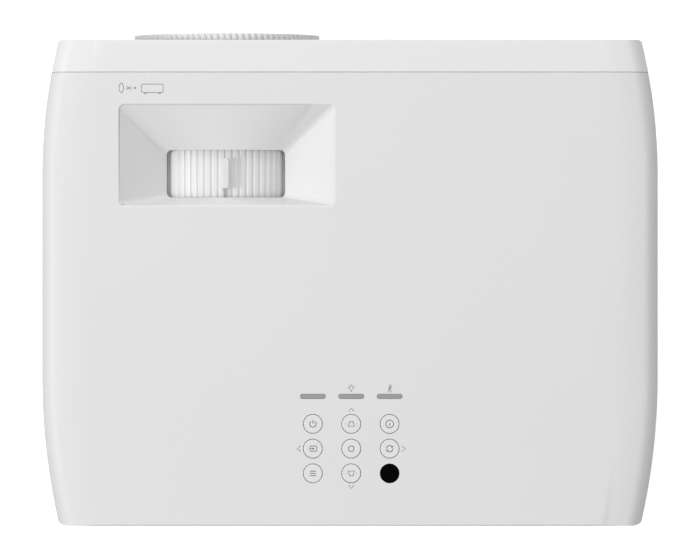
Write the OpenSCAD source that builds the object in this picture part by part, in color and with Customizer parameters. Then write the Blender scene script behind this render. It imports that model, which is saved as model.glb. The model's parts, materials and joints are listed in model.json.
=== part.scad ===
/* [Case] */
// Width of the case at its widest line
case_w = 337; // [320:1:420]
// Depth of the case without the focus ring
case_d = 263.5; // [255:0.5:330]
// Height of the case from its floor to its top
case_h = 109; // [107:0.5:135]
// Height of the case floor above the table with the feet screwed in
foot_gap = 10; // [8:0.5:16]
// Wall thickness of the moulded case
wall = 2.5; // [2:0.1:3]
// Gap between neighbouring mouldings
seam = 0.4; // [0.2:0.05:0.8]
// Depth of the front bezel, from its face to the seam
bezel_d = 17.9; // [15:0.1:22]
// Height of the seam between the bottom cover and the top cover above the case floor
split_h = 34; // [30:1:40]

/* [Case outline] */
// Distance from the middle of the case to where the front arc of each side starts
front_run = 57; // [50:1:65]
// Radius of the front arc of each side
front_r = 310; // [280:5:450]
// Distance from the middle of the case to where the rear arc of each side starts
rear_run = 53; // [45:1:60]
// Radius of the rear arc of each side
rear_r = 360; // [300:5:450]
// Radius of the two upright front corners
front_corner_r = 5; // [4:0.5:8]
// Radius of the two upright rear corners
rear_corner_r = 8; // [5:0.5:12]

/* [Case section] */
// Height of the widest point of the sides above the case floor
bulge_h = 54; // [50:1:60]
// Lean of the side wall where it meets the shoulder, in degrees
side_lean = 4; // [3:0.5:6]
// Radius of the shoulder
shoulder_r = 10.5; // [8:0.5:14]
// Radius of the soft run from the shoulder to the flat top
ease_r = 93; // [70:1:110]
// Turn of that soft run, in degrees
ease_turn = 11; // [9:0.5:13]
// Radius of the lower edge of the sides
lower_r = 8; // [5:0.5:12]
// Radius of the front and rear edges of the top and of the floor
edge_r = 1.5; // [1:0.1:2.5]

/* [Lens] */
// Distance of the lens axis to the right of the middle
lens_x = 67.5; // [55:0.5:90]
// Height of the lens axis above the case floor
lens_h = 54; // [53.5:0.5:60]
// Radius of the focus ring over its teeth
ring_r = 50.7; // [44:0.1:50.9]
// Teeth round the focus ring
ring_teeth = 90; // [60:1:120]
// Distance that the focus ring stands out of the front
ring_proud = 3.6; // [2:0.1:8]
// Length of the focus ring's toothed rim
ring_len = 20; // [16:0.5:24]
// Gap round the focus ring in the bezel
ring_gap = 1; // [0.6:0.1:1.6]
// Outer radius of the lens barrel
barrel_r = 39; // [36:0.5:40]
// Wall of the lens barrel
barrel_wall = 3; // [2.5:0.1:4]
// Radial running clearance of rings, cells, shafts and screws
fit = 0.05; // [0.02:0.01:0.1]
// Travel of the front lens group each way
focus_travel = 2; // [1:0.5:3]
// Travel of the zoom lens group each way
zoom_travel = 4; // [2:0.5:5]

/* [Zoom ring and its recess] */
// Radius of the zoom ring over its ribs
zoom_r = 46; // [44:0.5:46.4]
// Ribs round the zoom ring
zoom_ribs = 76; // [60:2:90]
// Length of the zoom ring's ribbed rim
zoom_len = 34; // [30:0.5:36]
// Distance of the zoom window's front edge behind the case front
window_y = 59.6; // [56:0.1:64]
// Width of the zoom window
window_w = 64.3; // [50:0.1:70]
// Depth of the zoom window, front to rear
window_d = 25.8; // [22:0.1:28]
// Corner radius of the zoom window
window_r = 2.7; // [1:0.1:5]
// Gap between the zoom ring and the cover round the window
rim_gap = 0.7; // [0.5:0.1:1.5]
// Run of the recess's slope toward the near side of the case
recess_outer = 25.4; // [20:0.1:30]
// Run of the recess's slope toward the middle of the case
recess_inner = 27; // [20:0.1:30]
// Run of the recess's front slope
recess_front = 24.4; // [20:0.1:28]
// Run of the recess's steep rear slope
recess_rear = 4.6; // [2:0.1:6]
// Depth of the small step along the recess's front and outer edges
recess_lip = 0.5; // [0.3:0.1:0.8]
// Length of the zoom tab
tab_len = 16.6; // [10:0.1:20]
// Width of the zoom tab
tab_w = 3.8; // [3:0.1:5]
// Height of the zoom tab above the ribs
tab_h = 5; // [3:0.5:5.5]

/* [Keypad] */
// Place of the middle column of keys, to the right of the middle
key_x = -0.7; // [-20:0.1:20]
// Distance of the middle row of keys in front of the case rear
key_row = 41.9; // [38:0.1:60]
// Column spacing
key_dx = 20.8; // [16:0.1:30]
// Row spacing
key_dy = 13.4; // [12.5:0.1:20]
// Radius of a key
key_r = 5; // [4:0.1:5.6]
// Gap round a key
key_gap = 0.3; // [0.2:0.05:0.4]
// Travel of a key
key_travel = 0.8; // [0.4:0.1:1]
// Distance from the middle row of keys forward to the status bars
bar_row = 28.3; // [24:0.1:34]
// Length of a status bar
bar_len = 13.7; // [8:0.1:15]
// Width of a status bar
bar_w = 2.5; // [2:0.1:4]

/* [Vents] */
// Width of a side vent, front to rear
vent_w = 140; // [90:5:150]
// Height of a side vent
vent_h = 48; // [30:1:50]
// Width of a vent slot
slot_w = 2.8; // [2:0.1:3.4]
// Pitch of the vent slots
slot_pitch = 5; // [4.5:0.1:7]
// Size of the square fan frames
fan_size = 70; // [60:1:74]
// Depth of the fan frames
fan_depth = 15; // [12:0.5:18]

/* [Rear panel] */
// Width of the rear panel
panel_w = 296; // [280:1:300]
// Height of the rear panel
panel_h = 78; // [70:1:84]
// Height of the rear panel's lower edge above the case floor
panel_low = 11; // [8:0.5:13]
// Thickness of the rear panel
panel_t = 2; // [1.5:0.1:2.5]
// Depth of the socket face inside the rear edge
panel_sunk = 6.5; // [6:0.1:8]
// Clearance round each socket in the panel
port_gap = 0.3; // [0.2:0.05:0.5]

/* [Boards] */
// Height of the boards above the case floor
board_h = 14; // [13:0.5:18]
// Thickness of a circuit board
board_t = 1.6; // [1.2:0.1:2]

/* [Feet and mounts] */
// Radius of the foot disc
foot_r = 13; // [10:0.5:14]
// Radius of the foot's thread
thread_r = 4; // [3:0.5:5]
// Travel of a foot
foot_travel = 12; // [6:1:14]
// Spacing of the ceiling mount holes along the width
mount_dx = 200; // [180:1:210]
// Spacing of the ceiling mount holes along the depth
mount_dy = 170; // [160:1:175]
// Radius of the ceiling mount holes
mount_r = 2; // [1.5:0.1:2.5]
// Depth of the ceiling mount holes
mount_depth = 10; // [8:0.5:11]

/* [Hidden] */
keys = ["power", "up", "info", "source", "enter", "resync", "menu", "down"];
$fn = 64;

eps = 0.02;
over = 1;
rail_w = 60;
total_d = case_d + ring_proud;
y_front = ring_proud - total_d / 2;
y_rear = total_d / 2;
z_floor = foot_gap;
z_in = z_floor + wall;
z_top = foot_gap + case_h;
z_under = z_top - wall;
z_mid = z_floor + bulge_h;
z_split = z_floor + split_h;
y_seam = y_front + bezel_d;
side_r = shoulder_r
    + (z_top - z_mid - ease_r - (shoulder_r - ease_r) * cos(ease_turn)) / sin(side_lean);
low_lean = asin((z_mid - z_floor - lower_r) / (side_r - lower_r));
front_c = [case_w / 2 - front_r, -front_run];
rear_c = [case_w / 2 - rear_r, rear_run];

lens_z = z_floor + lens_h;
y_ring = y_front - ring_proud;
cell_r = barrel_r - barrel_wall - fit;
y_window = y_front + window_y;
y_zoom_ring = y_window + window_d / 2 - zoom_len / 2;
flange_t = 4;
y_mount = y_zoom_ring + zoom_len + 1.5 + flange_t;
recess_t = wall - 0.1;
recess_r = 3;
recess_overlap = 0.5;
scoop_bottom = lens_z + 30;
rim_r = zoom_r + rim_gap + recess_t;

y_key = y_rear - key_row;
z_pcb = z_top - 13;
y_panel = y_rear - panel_sunk - panel_t;
z_board = z_floor + board_h;
z_socket = z_board + board_t;
vent_y = 5;
vent_z = z_floor + 66;
engine_y = [y_mount, y_mount + 59];
engine_w = 91;
engine_h = 64;
light_x = lens_x - engine_w / 2;
rod_y = engine_y[0] + 32;
fan_x = -(case_w / 2 - 58.5);
fan_y = y_front + 7;
intake_x = case_w / 2 - 25.5;
intake_y = 30;
foot_x = case_w / 2 - 28;
foot_y = y_rear - 24;
front_foot_y = y_front + 35;
post_x = [case_w / 2 - 16.5, case_w / 2 - 27.5];
post_y = [y_front + 38, y_rear - 50];
board_x = 130;
socket_row = [["serial", -36], ["vga_in", 2], ["network", 32], ["hdmi_1", 56], ["hdmi_2", 77],
    ["usb", 97], ["audio_in", 113], ["audio_out", 125]];
vga_out_x = -74;
remote_x = -22;
remote_z = lens_z;
mount_y = -10;
fan_low = lens_z - fan_size / 2;
speaker_x = -(case_w / 2 - 7.5);
speaker_y = -40;
speaker_w = 50;
speaker_h = 44;
inlet_pins = [[-7, -0.4], [7, -0.4], [0, 3.6]];
wheel_x = light_x - 62;
wheel_z = lens_z - 18;
y_cell = y_ring + 9;
y_zoom = y_ring + 44;
inlet_x = -112;
z_inlet = z_socket + 16;

// Points of an arc about c, from angle a0 to a1
function arc(c, r, a0, a1, n) =
    [for (k = [0:n]) c + r * [cos(a0 + (a1 - a0) * k / n), sin(a0 + (a1 - a0) * k / n)]];

// Section of one side of the case, drawn in from the outside by i
function side_section(i) = let (
    side_c = [-side_r, z_mid],
    low_c = side_c + (side_r - lower_r) * [cos(low_lean), -sin(low_lean)],
    shoulder_c = side_c + (side_r - shoulder_r) * [cos(side_lean), sin(side_lean)],
    ease_c = shoulder_c + (shoulder_r - ease_r) * [sin(ease_turn), cos(ease_turn)])
    concat(
        arc(low_c, lower_r - i, -90, -low_lean, 6),
        arc(side_c, side_r - i, 0.5 - low_lean, side_lean - 0.5, 4),
        arc(shoulder_c, shoulder_r - i, side_lean, 90 - ease_turn, 8),
        arc(ease_c, ease_r - i, 90 - ease_turn * 3 / 4, 90, 3),
        [[-rail_w, z_top - i], [-rail_w, z_floor + i]]);

module bend(c, r, turn, i) {
    translate(c) rotate_extrude(angle = turn, $fn = 360)
        translate([r, 0]) polygon(side_section(i));
}

// The right side of the case: a straight middle between two arcs
module side_rail(i) {
    front_end = asin((4 - y_front - front_run) / (front_r - rail_w));
    rear_end = asin((y_rear + 4 - rear_run) / (rear_r - rail_w));
    mirror([0, 1, 0]) bend([front_c[0], front_run], front_r, front_end, i);
    translate([case_w / 2, rear_run, 0]) rotate([90, 0, 0])
        linear_extrude(front_run + rear_run) polygon(side_section(i));
    bend(rear_c, rear_r, rear_end, i);
}

module corner_cut(c, r, out, y_dir) {
    away = (c - out) / norm(c - out);
    reach = 40;
    translate([0, 0, z_floor - 5]) linear_extrude(case_h + 10) difference() {
        polygon([c, c + reach * [0, y_dir], c + reach * [1, y_dir], c + reach * away]);
        translate(c) circle(r, $fn = 96);
    }
}

module corner_cuts(i) {
    fy = y_front + front_corner_r - eps;
    fx = front_c[0] + sqrt(pow(front_r - front_corner_r + eps, 2) - pow(fy - front_c[1], 2));
    ry = y_rear - rear_corner_r + eps;
    rx = rear_c[0] + sqrt(pow(rear_r - rear_corner_r + eps, 2) - pow(ry - rear_c[1], 2));
    corner_cut([fx, fy], front_corner_r - i, front_c, -1);
    corner_cut([rx, ry], rear_corner_r - i, rear_c, 1);
}

// The solid form of the case, drawn in on every side by i
module case_form(i) {
    block_w = case_w - 90;
    r = max(edge_r - i, 0.3);
    ends = concat(
        arc([y_rear - i - r, z_top + eps - r - i], r, 0, 90, 5),
        arc([y_front + i + r, z_top + eps - r - i], r, 90, 180, 5),
        arc([y_front + i + r, z_floor - eps + r + i], r, 180, 270, 5),
        arc([y_rear - i - r, z_floor - eps + r + i], r, 270, 360, 5));
    difference() {
        intersection() {
            union() {
                translate([-block_w / 2, y_front - 5, z_floor + i])
                    cube([block_w, case_d + 10, case_h - 2 * i]);
                side_rail(i);
                mirror([1, 0, 0]) side_rail(i);
            }
            rotate([90, 0, 90]) linear_extrude(case_w + 20, center = true) polygon(ends);
        }
        corner_cuts(i);
        mirror([1, 0, 0]) corner_cuts(i);
    }
}

module case_shell() {
    difference() {
        case_form(0);
        case_form(wall);
    }
}

// A box given by two opposite corners
module box(a, b) {
    translate(a) cube(b - a);
}

// A flat outline in X and Z, standing from y to y + depth
module stand_y(y, depth) {
    translate([0, y + depth, 0]) rotate([90, 0, 0]) linear_extrude(depth) children();
}

// A flat outline in Y and Z, standing from x to x + depth
module stand_x(x, depth) {
    translate([x, 0, 0]) rotate([90, 0, 90]) linear_extrude(depth) children();
}

// A profile in radius and Y, turned about the lens axis
module turn_lens() {
    translate([lens_x, 0, lens_z]) rotate([-90, 0, 0]) rotate_extrude($fn = 180) children();
}

module post(x, y, r, z0, z1) {
    translate([x, y, z0]) cylinder(r = r, h = z1 - z0, $fn = 32);
}

module rounded(w, d, r) {
    square([w - 2 * r, d], center = true);
    square([w, d - 2 * r], center = true);
    for (x = [-1, 1], y = [-1, 1]) translate([x * (w / 2 - r), y * (d / 2 - r)]) circle(r, $fn = 32);
}

module key_place(n) {
    translate([key_x + (1 - n % 3) * key_dx, y_key + (floor(n / 3) - 1) * key_dy, 0]) children();
}

module bar_places() {
    for (n = [-1:1]) translate([key_x + n * key_dx, y_key - bar_row, 0]) children();
}

// ---- the case ----

// Half-width w, half-depth d: an outline with corner radius r, and stations along its long edges
function window_outline(w, d, r) = let (
    corners = [[1, 1], [-1, 1], [-1, -1], [1, -1]],
    bends = [for (k = [0:3]) arc([corners[k][0] * (w - r), corners[k][1] * (d - r)], r, k * 90,
        k * 90 + 90, 4)],
    runs = 12)
    [for (k = [0:3]) each concat(bends[k], k % 2 == 1 ? [] :
        [for (n = [1:runs - 1]) bends[k][4] + (bends[k + 1][0] - bends[k][4]) * n / runs])];

// Height over the lens axis of a rim of radius rim_r, x away from the axis
function rim_z(x) = lens_z + sqrt(rim_r * rim_r - x * x);

// Depth of the step at point p of a recess outline with half sizes w and d, none at its inner and
// rear edges
function step_depth(p, w, d) = recess_lip * min(1, 6 * max(0, p[0] / w - p[1] / d));

// A sloped scoop: its outer edge grown by g, its inner edge the window's, with the height of the
// rim that follows the zoom ring, drop below it
module scoop(g, drop, shrink) {
    step_draft = 2;
    middle = [lens_x, y_window + window_d / 2];
    edge = middle + [recess_outer - recess_inner, recess_rear - recess_front] / 2;
    w = (window_w + recess_outer + recess_inner) / 2 + g;
    d = (window_d + recess_front + recess_rear) / 2 + g;
    rim = window_outline(w + step_draft, d + step_draft, recess_r + g + step_draft);
    outer = window_outline(w, d, recess_r + g);
    inner = window_outline(window_w / 2 - shrink, window_d / 2 - shrink, window_r);
    n = len(outer);
    points = concat(
        [for (p = rim) [edge[0] + p[0], edge[1] + p[1], z_top + step_draft]],
        [for (p = outer) [edge[0] + p[0], edge[1] + p[1], z_top - step_depth(p, w, d) - drop]],
        [for (p = inner) [middle[0] + p[0], middle[1] + p[1], rim_z(p[0]) - drop]],
        [for (p = inner) [middle[0] + p[0], middle[1] + p[1], scoop_bottom + drop]]);
    polyhedron(points, concat(
        [[for (k = [n - 1:-1:0]) k]],
        [for (l = [0:2], k = [0:n - 1]) each [
            [l * n + k, l * n + (k + 1) % n, (l + 1) * n + k],
            [l * n + (k + 1) % n, (l + 1) * n + (k + 1) % n, (l + 1) * n + k]]],
        [[for (k = [0:n - 1]) 3 * n + k]]));
}

module side_vent_box(g) {
    translate([case_w / 2 - 15, vent_y - vent_w / 2 - g, vent_z - vent_h / 2 - g])
        cube([20, vent_w + 2 * g, vent_h + 2 * g]);
}

module rear_opening() {
    translate([0, 0, z_floor + panel_low + panel_h / 2])
        stand_y(y_rear - wall - 3, wall + 6) rounded(panel_w + 2 * seam, panel_h + 2 * seam, 4 + seam);
}

module screw_posts() {
    for (s = [-1, 1], k = [0, 1]) difference() {
        post(s * post_x[k], post_y[k], 4, z_floor + 20, z_under + 0.3);
        post(s * post_x[k], post_y[k], 1.5 + fit, z_floor + 19, z_floor + 34);
    }
}

module top_cover() {
    color("whitesmoke") difference() {
        union() {
            intersection() {
                case_shell();
                box([-case_w, y_seam, z_split], [case_w, y_rear + over, z_top + over]);
            }
            intersection() {
                scoop(recess_t, recess_t, recess_overlap);
                box([-case_w, y_front, z_mid], [case_w, y_rear, z_under + 0.3]);
            }
            screw_posts();
            for (x = [-1, 1], y = [6 - bar_row, key_dy + 9])
                post(key_x + x * key_dx / 2, y_key + y, 2.2, z_pcb, z_under + 0.3);
        }
        scoop(0, 0, 0);
        for (n = [0:7]) key_place(n) translate([0, 0, z_under - over])
            cylinder(r = key_r + key_gap, h = wall + 2 * over);
        key_place(8) translate([0, 0, z_under - over])
            cylinder(r = key_r + key_gap, h = wall + 2 * over);
        bar_places() translate([0, 0, z_under - over]) linear_extrude(wall + 2 * over)
            rounded(bar_len + 0.2, bar_w + 0.2, bar_w / 2 + 0.1 - 0.001);
        for (s = [0, 1]) mirror([s, 0, 0]) side_vent_box(seam);
        rear_opening();
    }
}

module front_slots() {
    for (n = [-6:6]) translate([fan_x + n * slot_pitch, 0, lens_z])
        stand_y(y_front - over, wall + 2 * over) rounded(slot_w, 58 - abs(n) * 1.5, slot_w / 2 - 0.001);
}

module front_bezel() {
    hook_t = 1.6;
    hook_w = 10;
    color("white") difference() {
        union() {
            intersection() {
                case_shell();
                box([-case_w, y_front - over, z_floor - over],
                    [case_w, y_seam - seam, z_top + over]);
            }
            // hooks that reach behind the seam, under the top and over the floor
            for (x = [-case_w / 2 + 60, -case_w / 2 + 130, case_w / 2 - 45]) {
                box([x - hook_w / 2, y_seam - 9, z_under - hook_t - 0.2],
                    [x + hook_w / 2, y_seam + 6, z_under - 0.2]);
                box([x - hook_w / 2, y_seam - 9, z_under - hook_t - 0.2],
                    [x + hook_w / 2, y_seam - 6, z_under + 0.3]);
            }
            for (x = [-case_w / 2 + 26, -case_w / 2 + 130, case_w / 2 - 30]) {
                box([x - hook_w / 2, y_seam - 9, z_in + 0.2],
                    [x + hook_w / 2, y_seam + 6, z_in + 0.2 + hook_t]);
                box([x - hook_w / 2, y_seam - 9, z_in - 0.3],
                    [x + hook_w / 2, y_seam - 6, z_in + 0.2 + hook_t]);
            }
        }
        translate([lens_x, 0, lens_z]) stand_y(y_front - over, wall + 2 * over)
            circle(ring_r + ring_gap, $fn = 180);
        translate([remote_x, 0, remote_z]) stand_y(y_front - over, wall + 2 * over)
            rounded(24, 12, 3);
        front_slots();
    }
}
module foot_bosses() {
    for (p = [[0, front_foot_y], [-foot_x, foot_y], [foot_x, foot_y]])
        post(p[0], p[1], thread_r + 4, z_in - 0.3, z_floor + 24);
}

module bottom_cover() {
    color("whitesmoke") difference() {
        union() {
            intersection() {
                case_shell();
                box([-case_w, y_seam, z_floor - over], [case_w, y_rear + over, z_split - seam]);
            }
            foot_bosses();
            for (s = [-1, 1], k = [0, 1])
                post(s * post_x[k], post_y[k], 5, z_in - 0.3, z_floor + 20);
            for (x = [-1, 1], y = [-1, 1])
                post(x * mount_dx / 2, mount_y + y * mount_dy / 2, 5, z_in - 0.3, z_floor + 12);
            // board pillars
            for (x = [-board_x + 5, -56], y = [engine_y[1] + 30, y_rear - 30])
                post(x, y, 3, z_in - 0.3, z_board);
            for (x = [-38, 50, board_x - 5], y = [y_rear - 60, y_rear - 22])
                post(x, y, 3, z_in - 0.3, z_board);
            // pillars under the optics
            for (x = [light_x + 8, light_x + engine_w - 8], y = [engine_y[0] + 8, engine_y[1] - 8])
                post(x, y, 5, z_in - 0.3, lens_z - engine_h / 2);
            for (x = [light_x - 90, light_x - 12], y = [rod_y - 24, rod_y + 24])
                post(x, y, 4, z_in - 0.3, z_floor + 8);
            // saddles under the fans and the speaker
            box([fan_x - 26, y_seam + 1, z_in - 0.3], [fan_x + 26, fan_y + fan_depth - 1, fan_low]);
            box([intake_x + 2, intake_y - 26, z_in - 0.3],
                [intake_x + fan_depth - 3, intake_y + 8, fan_low]);
            box([speaker_x + 1, speaker_y - 12, z_in - 0.3],
                [speaker_x + 10, speaker_y + 12, lens_z - speaker_h / 2]);
        }
        for (p = [[0, front_foot_y], [-foot_x, foot_y], [foot_x, foot_y]])
            post(p[0], p[1], thread_r + fit, z_floor - over, z_floor + 25);
        for (s = [-1, 1], k = [0, 1]) {
            post(s * post_x[k], post_y[k], 1.8, z_floor - over, z_floor + 21);
            post(s * post_x[k], post_y[k], 3.2, z_floor - over, z_floor + 10);
        }
        for (x = [-1, 1], y = [-1, 1])
            post(x * mount_dx / 2, mount_y + y * mount_dy / 2, mount_r, z_floor - over,
                z_floor + mount_depth);
        rear_opening();
    }
}
module side_grille() {
    difference() {
        intersection() {
            case_shell();
            side_vent_box(0);
        }
        count = floor((vent_w - 16) / slot_pitch / 2);
        for (n = [-count:count]) translate([0, vent_y + n * slot_pitch, vent_z])
            stand_x(case_w / 2 - 16, 22) rounded(slot_w, vent_h - 12, slot_w / 2 - 0.001);
    }
}
module side_grille_right() color("gainsboro") side_grille();
module side_grille_left() color("gainsboro") mirror([1, 0, 0]) side_grille();

module case_screws() {
    color("dimgray") for (s = [-1, 1], k = [0, 1]) {
        post(s * post_x[k], post_y[k], 3, z_floor + 7.4, z_floor + 9.98);
        post(s * post_x[k], post_y[k], 1.5, z_floor + 9.9, z_floor + 32);
    }
}

// ---- keypad, status bars and remote windows ----

module key_body() {
    color("white") {
        translate([0, 0, z_under - 2]) cylinder(r = key_r, h = wall + 2);
        translate([0, 0, z_under - 2]) cylinder(r = key_r + 1.2, h = 1.9);
        translate([0, 0, z_pcb + 3.3]) cylinder(r = 1.5, h = z_under - z_pcb - 5);
    }
}
module key(n) key_place(n) key_body();

module key_switches() {
    color("silver") for (n = [0:7]) key_place(n) {
        translate([-2.2, -2.2, z_pcb]) cube([4.4, 4.4, 1.6]);
        translate([0, 0, z_pcb + 1.5]) cylinder(r = 1.2, h = 1.7 - key_travel);
    }
}

module keypad_board() {
    color("seagreen") translate([0, 0, z_pcb - board_t]) linear_extrude(board_t) difference() {
        translate([key_x, y_key + (key_dy + 6 - bar_row) / 2])
            rounded(2 * key_dx + 18, bar_row + key_dy + 18, 2);
        key_place(8) square([6.4, 6.4], center = true);
    }
}

module status_bars() {
    color("silver") bar_places() translate([0, 0, z_pcb]) linear_extrude(z_top - z_pcb)
        rounded(bar_len, bar_w, bar_w / 2 - 0.001);
}

module remote_window_top() {
    color("black") key_place(8) {
        translate([0, 0, z_under - 1.2]) cylinder(r = key_r + 0.2, h = wall + 1.2);
        translate([0, 0, z_under - 1.2]) cylinder(r = key_r + 1.5, h = 1.2);
    }
}

module remote_window_front() {
    color("black") translate([remote_x, 0, remote_z]) {
        stand_y(y_front, wall + 1) rounded(23.6, 11.6, 2.8);
        stand_y(y_front + wall, 1.2) rounded(28, 16, 3);
    }
}

module remote_receivers() {
    color("dimgray") {
        key_place(8) translate([-3, -3, z_pcb - board_t]) cube([6, 6, z_under - 1.5 - z_pcb + board_t]);
        box([remote_x - 4, y_front + wall + 1.5, remote_z - 4],
            [remote_x + 4, y_front + wall + 7.5, remote_z + 4]);
    }
}

// ---- boards and sockets ----

module board(x0, x1, y0, y1) {
    color("seagreen") box([x0, y0, z_board], [x1, y1, z_socket]);
}
module main_board() board(-46, board_x, y_rear - 68, y_panel - 2);
module power_board() board(-board_x, -50, engine_y[1] + 22, y_panel - 22);

module board_parts() {
    color("dimgray") {
        box([0, y_rear - 62, z_socket], [30, y_rear - 36, z_socket + 9]);
        box([46, y_rear - 60, z_socket], [60, y_rear - 46, z_socket + 2]);
        box([72, y_rear - 60, z_socket], [86, y_rear - 46, z_socket + 2]);
        box([-110, engine_y[1] + 34, z_socket], [-76, engine_y[1] + 60, z_socket + 27]);
        for (k = [0:2]) post(-120, engine_y[1] + 32 + 18 * k, 7.5, z_socket, z_socket + 28);
        for (k = [0:1]) post(-62, engine_y[1] + 34 + 16 * k, 6, z_socket, z_socket + 18);
    }
}

function socket_x(name) = [for (s = socket_row) if (s[0] == name) s[1]][0];

// Outlines of the sockets where they pass the panel, each grown by g
module port_outlines(g) {
    for (x = [socket_x("serial"), socket_x("vga_in"), vga_out_x]) translate([x, z_socket + 6.3])
        square([31 + 2 * g, 12.6 + 2 * g], center = true);
    translate([socket_x("network"), z_socket + 6.8]) square([16 + 2 * g, 13.6 + 2 * g], center = true);
    for (x = [socket_x("hdmi_1"), socket_x("hdmi_2")]) translate([x, z_socket + 3.2])
        square([15 + 2 * g, 6.4 + 2 * g], center = true);
    translate([socket_x("usb"), z_socket + 3.6]) square([14.4 + 2 * g, 7.2 + 2 * g], center = true);
    for (x = [socket_x("audio_in"), socket_x("audio_out")]) translate([x, z_socket + 5])
        circle(3.4 + g, $fn = 48);
    translate([inlet_x, z_inlet]) rounded(27.4 + 2 * g, 20 + 2 * g, 3);
}
module rear_panel() {
    rim_t = 1.6;
    middle = [0, z_floor + panel_low + panel_h / 2];
    color("lightgray") {
        stand_y(y_panel, panel_t) difference() {
            translate(middle) rounded(panel_w, panel_h, 4);
            port_outlines(port_gap);
            translate([-30, z_floor + 60]) rounded(7, 3, 1.49);
        }
        stand_y(y_panel + panel_t - 0.1, panel_sunk - 0.2) translate(middle) difference() {
            rounded(panel_w, panel_h, 4);
            rounded(panel_w - 2 * rim_t, panel_h - 2 * rim_t, 4 - rim_t);
        }
    }
}

module hdmi_sockets() {
    color("silver") for (x = [socket_x("hdmi_1"), socket_x("hdmi_2")]) {
        difference() {
            box([x - 7.5, y_panel - 9, z_socket], [x + 7.5, y_panel + panel_t + 0.4, z_socket + 6.4]);
            box([x - 7, y_panel - 8, z_socket + 0.9], [x + 7, y_panel + panel_t + 2, z_socket + 5.5]);
        }
        box([x - 5.8, y_panel - 8.5, z_socket + 2.8], [x + 5.8, y_panel + panel_t - 1, z_socket + 4]);
    }
}

module d_sub_sockets() {
    color("silver") for (x = [socket_x("serial"), socket_x("vga_in"), vga_out_x]) {
        difference() {
            union() {
                box([x - 15.4, y_panel - 9, z_socket],
                    [x + 15.4, y_panel + panel_t - 1, z_socket + 12.6]);
                translate([x, 0, z_socket + 6.3]) stand_y(y_panel, panel_t + 5) rounded(17, 8.4, 3);
            }
            for (r = [-1, 1], c = [-2:2]) translate([x + c * 2.6 + r * 0.6, 0, z_socket + 6.3 + r * 1.6])
                stand_y(y_panel + panel_t, 8) circle(0.6, $fn = 24);
        }
        for (s = [-1, 1]) translate([x + s * 12.3, 0, z_socket + 6.3])
            stand_y(y_panel + panel_t - 1, 4) circle(2.6, $fn = 6);
    }
}

module network_socket() {
    x = socket_x("network");
    color("gray") difference() {
        box([x - 8, y_panel - 16, z_socket], [x + 8, y_panel + panel_t + 0.4, z_socket + 13.6]);
        box([x - 6, y_panel - 10, z_socket + 2.2], [x + 6, y_panel + panel_t + 2, z_socket + 10]);
        box([x - 3, y_panel - 10, z_socket + 1], [x + 3, y_panel + panel_t + 2, z_socket + 3]);
    }
}

module usb_socket() {
    x = socket_x("usb");
    color("silver") {
        difference() {
            box([x - 7.2, y_panel - 11, z_socket], [x + 7.2, y_panel + panel_t + 0.4, z_socket + 7.2]);
            box([x - 6.4, y_panel - 10, z_socket + 0.8], [x + 6.4, y_panel + panel_t + 2, z_socket + 6.4]);
        }
        box([x - 5.8, y_panel - 10.5, z_socket + 4], [x + 5.8, y_panel + panel_t - 1, z_socket + 5.8]);
    }
}

module audio_sockets() {
    color("dimgray") for (x = [socket_x("audio_in"), socket_x("audio_out")]) difference() {
        union() {
            box([x - 4.5, y_panel - 12, z_socket], [x + 4.5, y_panel - 0.2, z_socket + 9.6]);
            translate([x, 0, z_socket + 5]) stand_y(y_panel - 0.3, panel_t + 0.7) circle(3.4, $fn = 48);
        }
        translate([x, 0, z_socket + 5]) stand_y(y_panel - 11, panel_t + 14) circle(1.75, $fn = 32);
    }
}

module power_inlet() {
    color("dimgray") difference() {
        union() {
            translate([inlet_x, 0, z_inlet]) stand_y(y_panel - 14, panel_t + 14.4) rounded(27.4, 20, 3);
            translate([inlet_x, 0, z_inlet]) stand_y(y_panel - 3, 2.8) rounded(34, 24, 2);
        }
        translate([inlet_x, 0, z_inlet]) stand_y(y_panel - 12, panel_t + 14) rounded(24.4, 16.6, 2.4);
        for (p = inlet_pins) box([inlet_x + p[0] - 1, y_panel - 13.5, z_inlet + p[1] - 2],
            [inlet_x + p[0] + 1, y_panel - 11, z_inlet + p[1] + 2]);
    }
}
module power_inlet_blades() {
    color("silver") for (p = inlet_pins) box([inlet_x + p[0] - 1, y_panel - 13.5, z_inlet + p[1] - 2],
        [inlet_x + p[0] + 1, y_panel + panel_t - 4, z_inlet + p[1] + 2]);
}

// ---- sound and cooling ----

module speaker_frame() {
    color("dimgray") translate([0, speaker_y, lens_z]) difference() {
        union() {
            stand_x(speaker_x, 3) rounded(speaker_w, speaker_h, 6);
            stand_x(speaker_x + 2.9, 8.1) circle(19, $fn = 64);
            stand_x(speaker_x + 10.9, 5.1) circle(14, $fn = 64);
        }
        stand_x(speaker_x - over, 10) circle(18, $fn = 64);
    }
}

module speaker_cone() {
    color("black") translate([speaker_x, speaker_y, lens_z]) rotate([0, 90, 0]) rotate_extrude()
        polygon([[0, 4], [6, 4], [15, 1.2], [17.7, 1.2], [17.7, 2], [15.4, 2], [6.4, 5], [6.4, 8.9], [0, 8.9]]);
}

module fan_frame_outline() {
    difference() {
        rounded(fan_size, fan_size, 5);
        circle(fan_size / 2 - 2, $fn = 96);
        for (x = [-1, 1], y = [-1, 1])
            translate([x, y] * (fan_size / 2 - 4.5)) circle(2.1, $fn = 24);
    }
}

// The fan's motor cup, held by four arms at the frame's rear
module fan_spider() {
    circle(12, $fn = 48);
    for (a = [0:90:270]) rotate(a + 20) translate([0, -1.5]) square([fan_size / 2 - 1, 3]);
}

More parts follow.
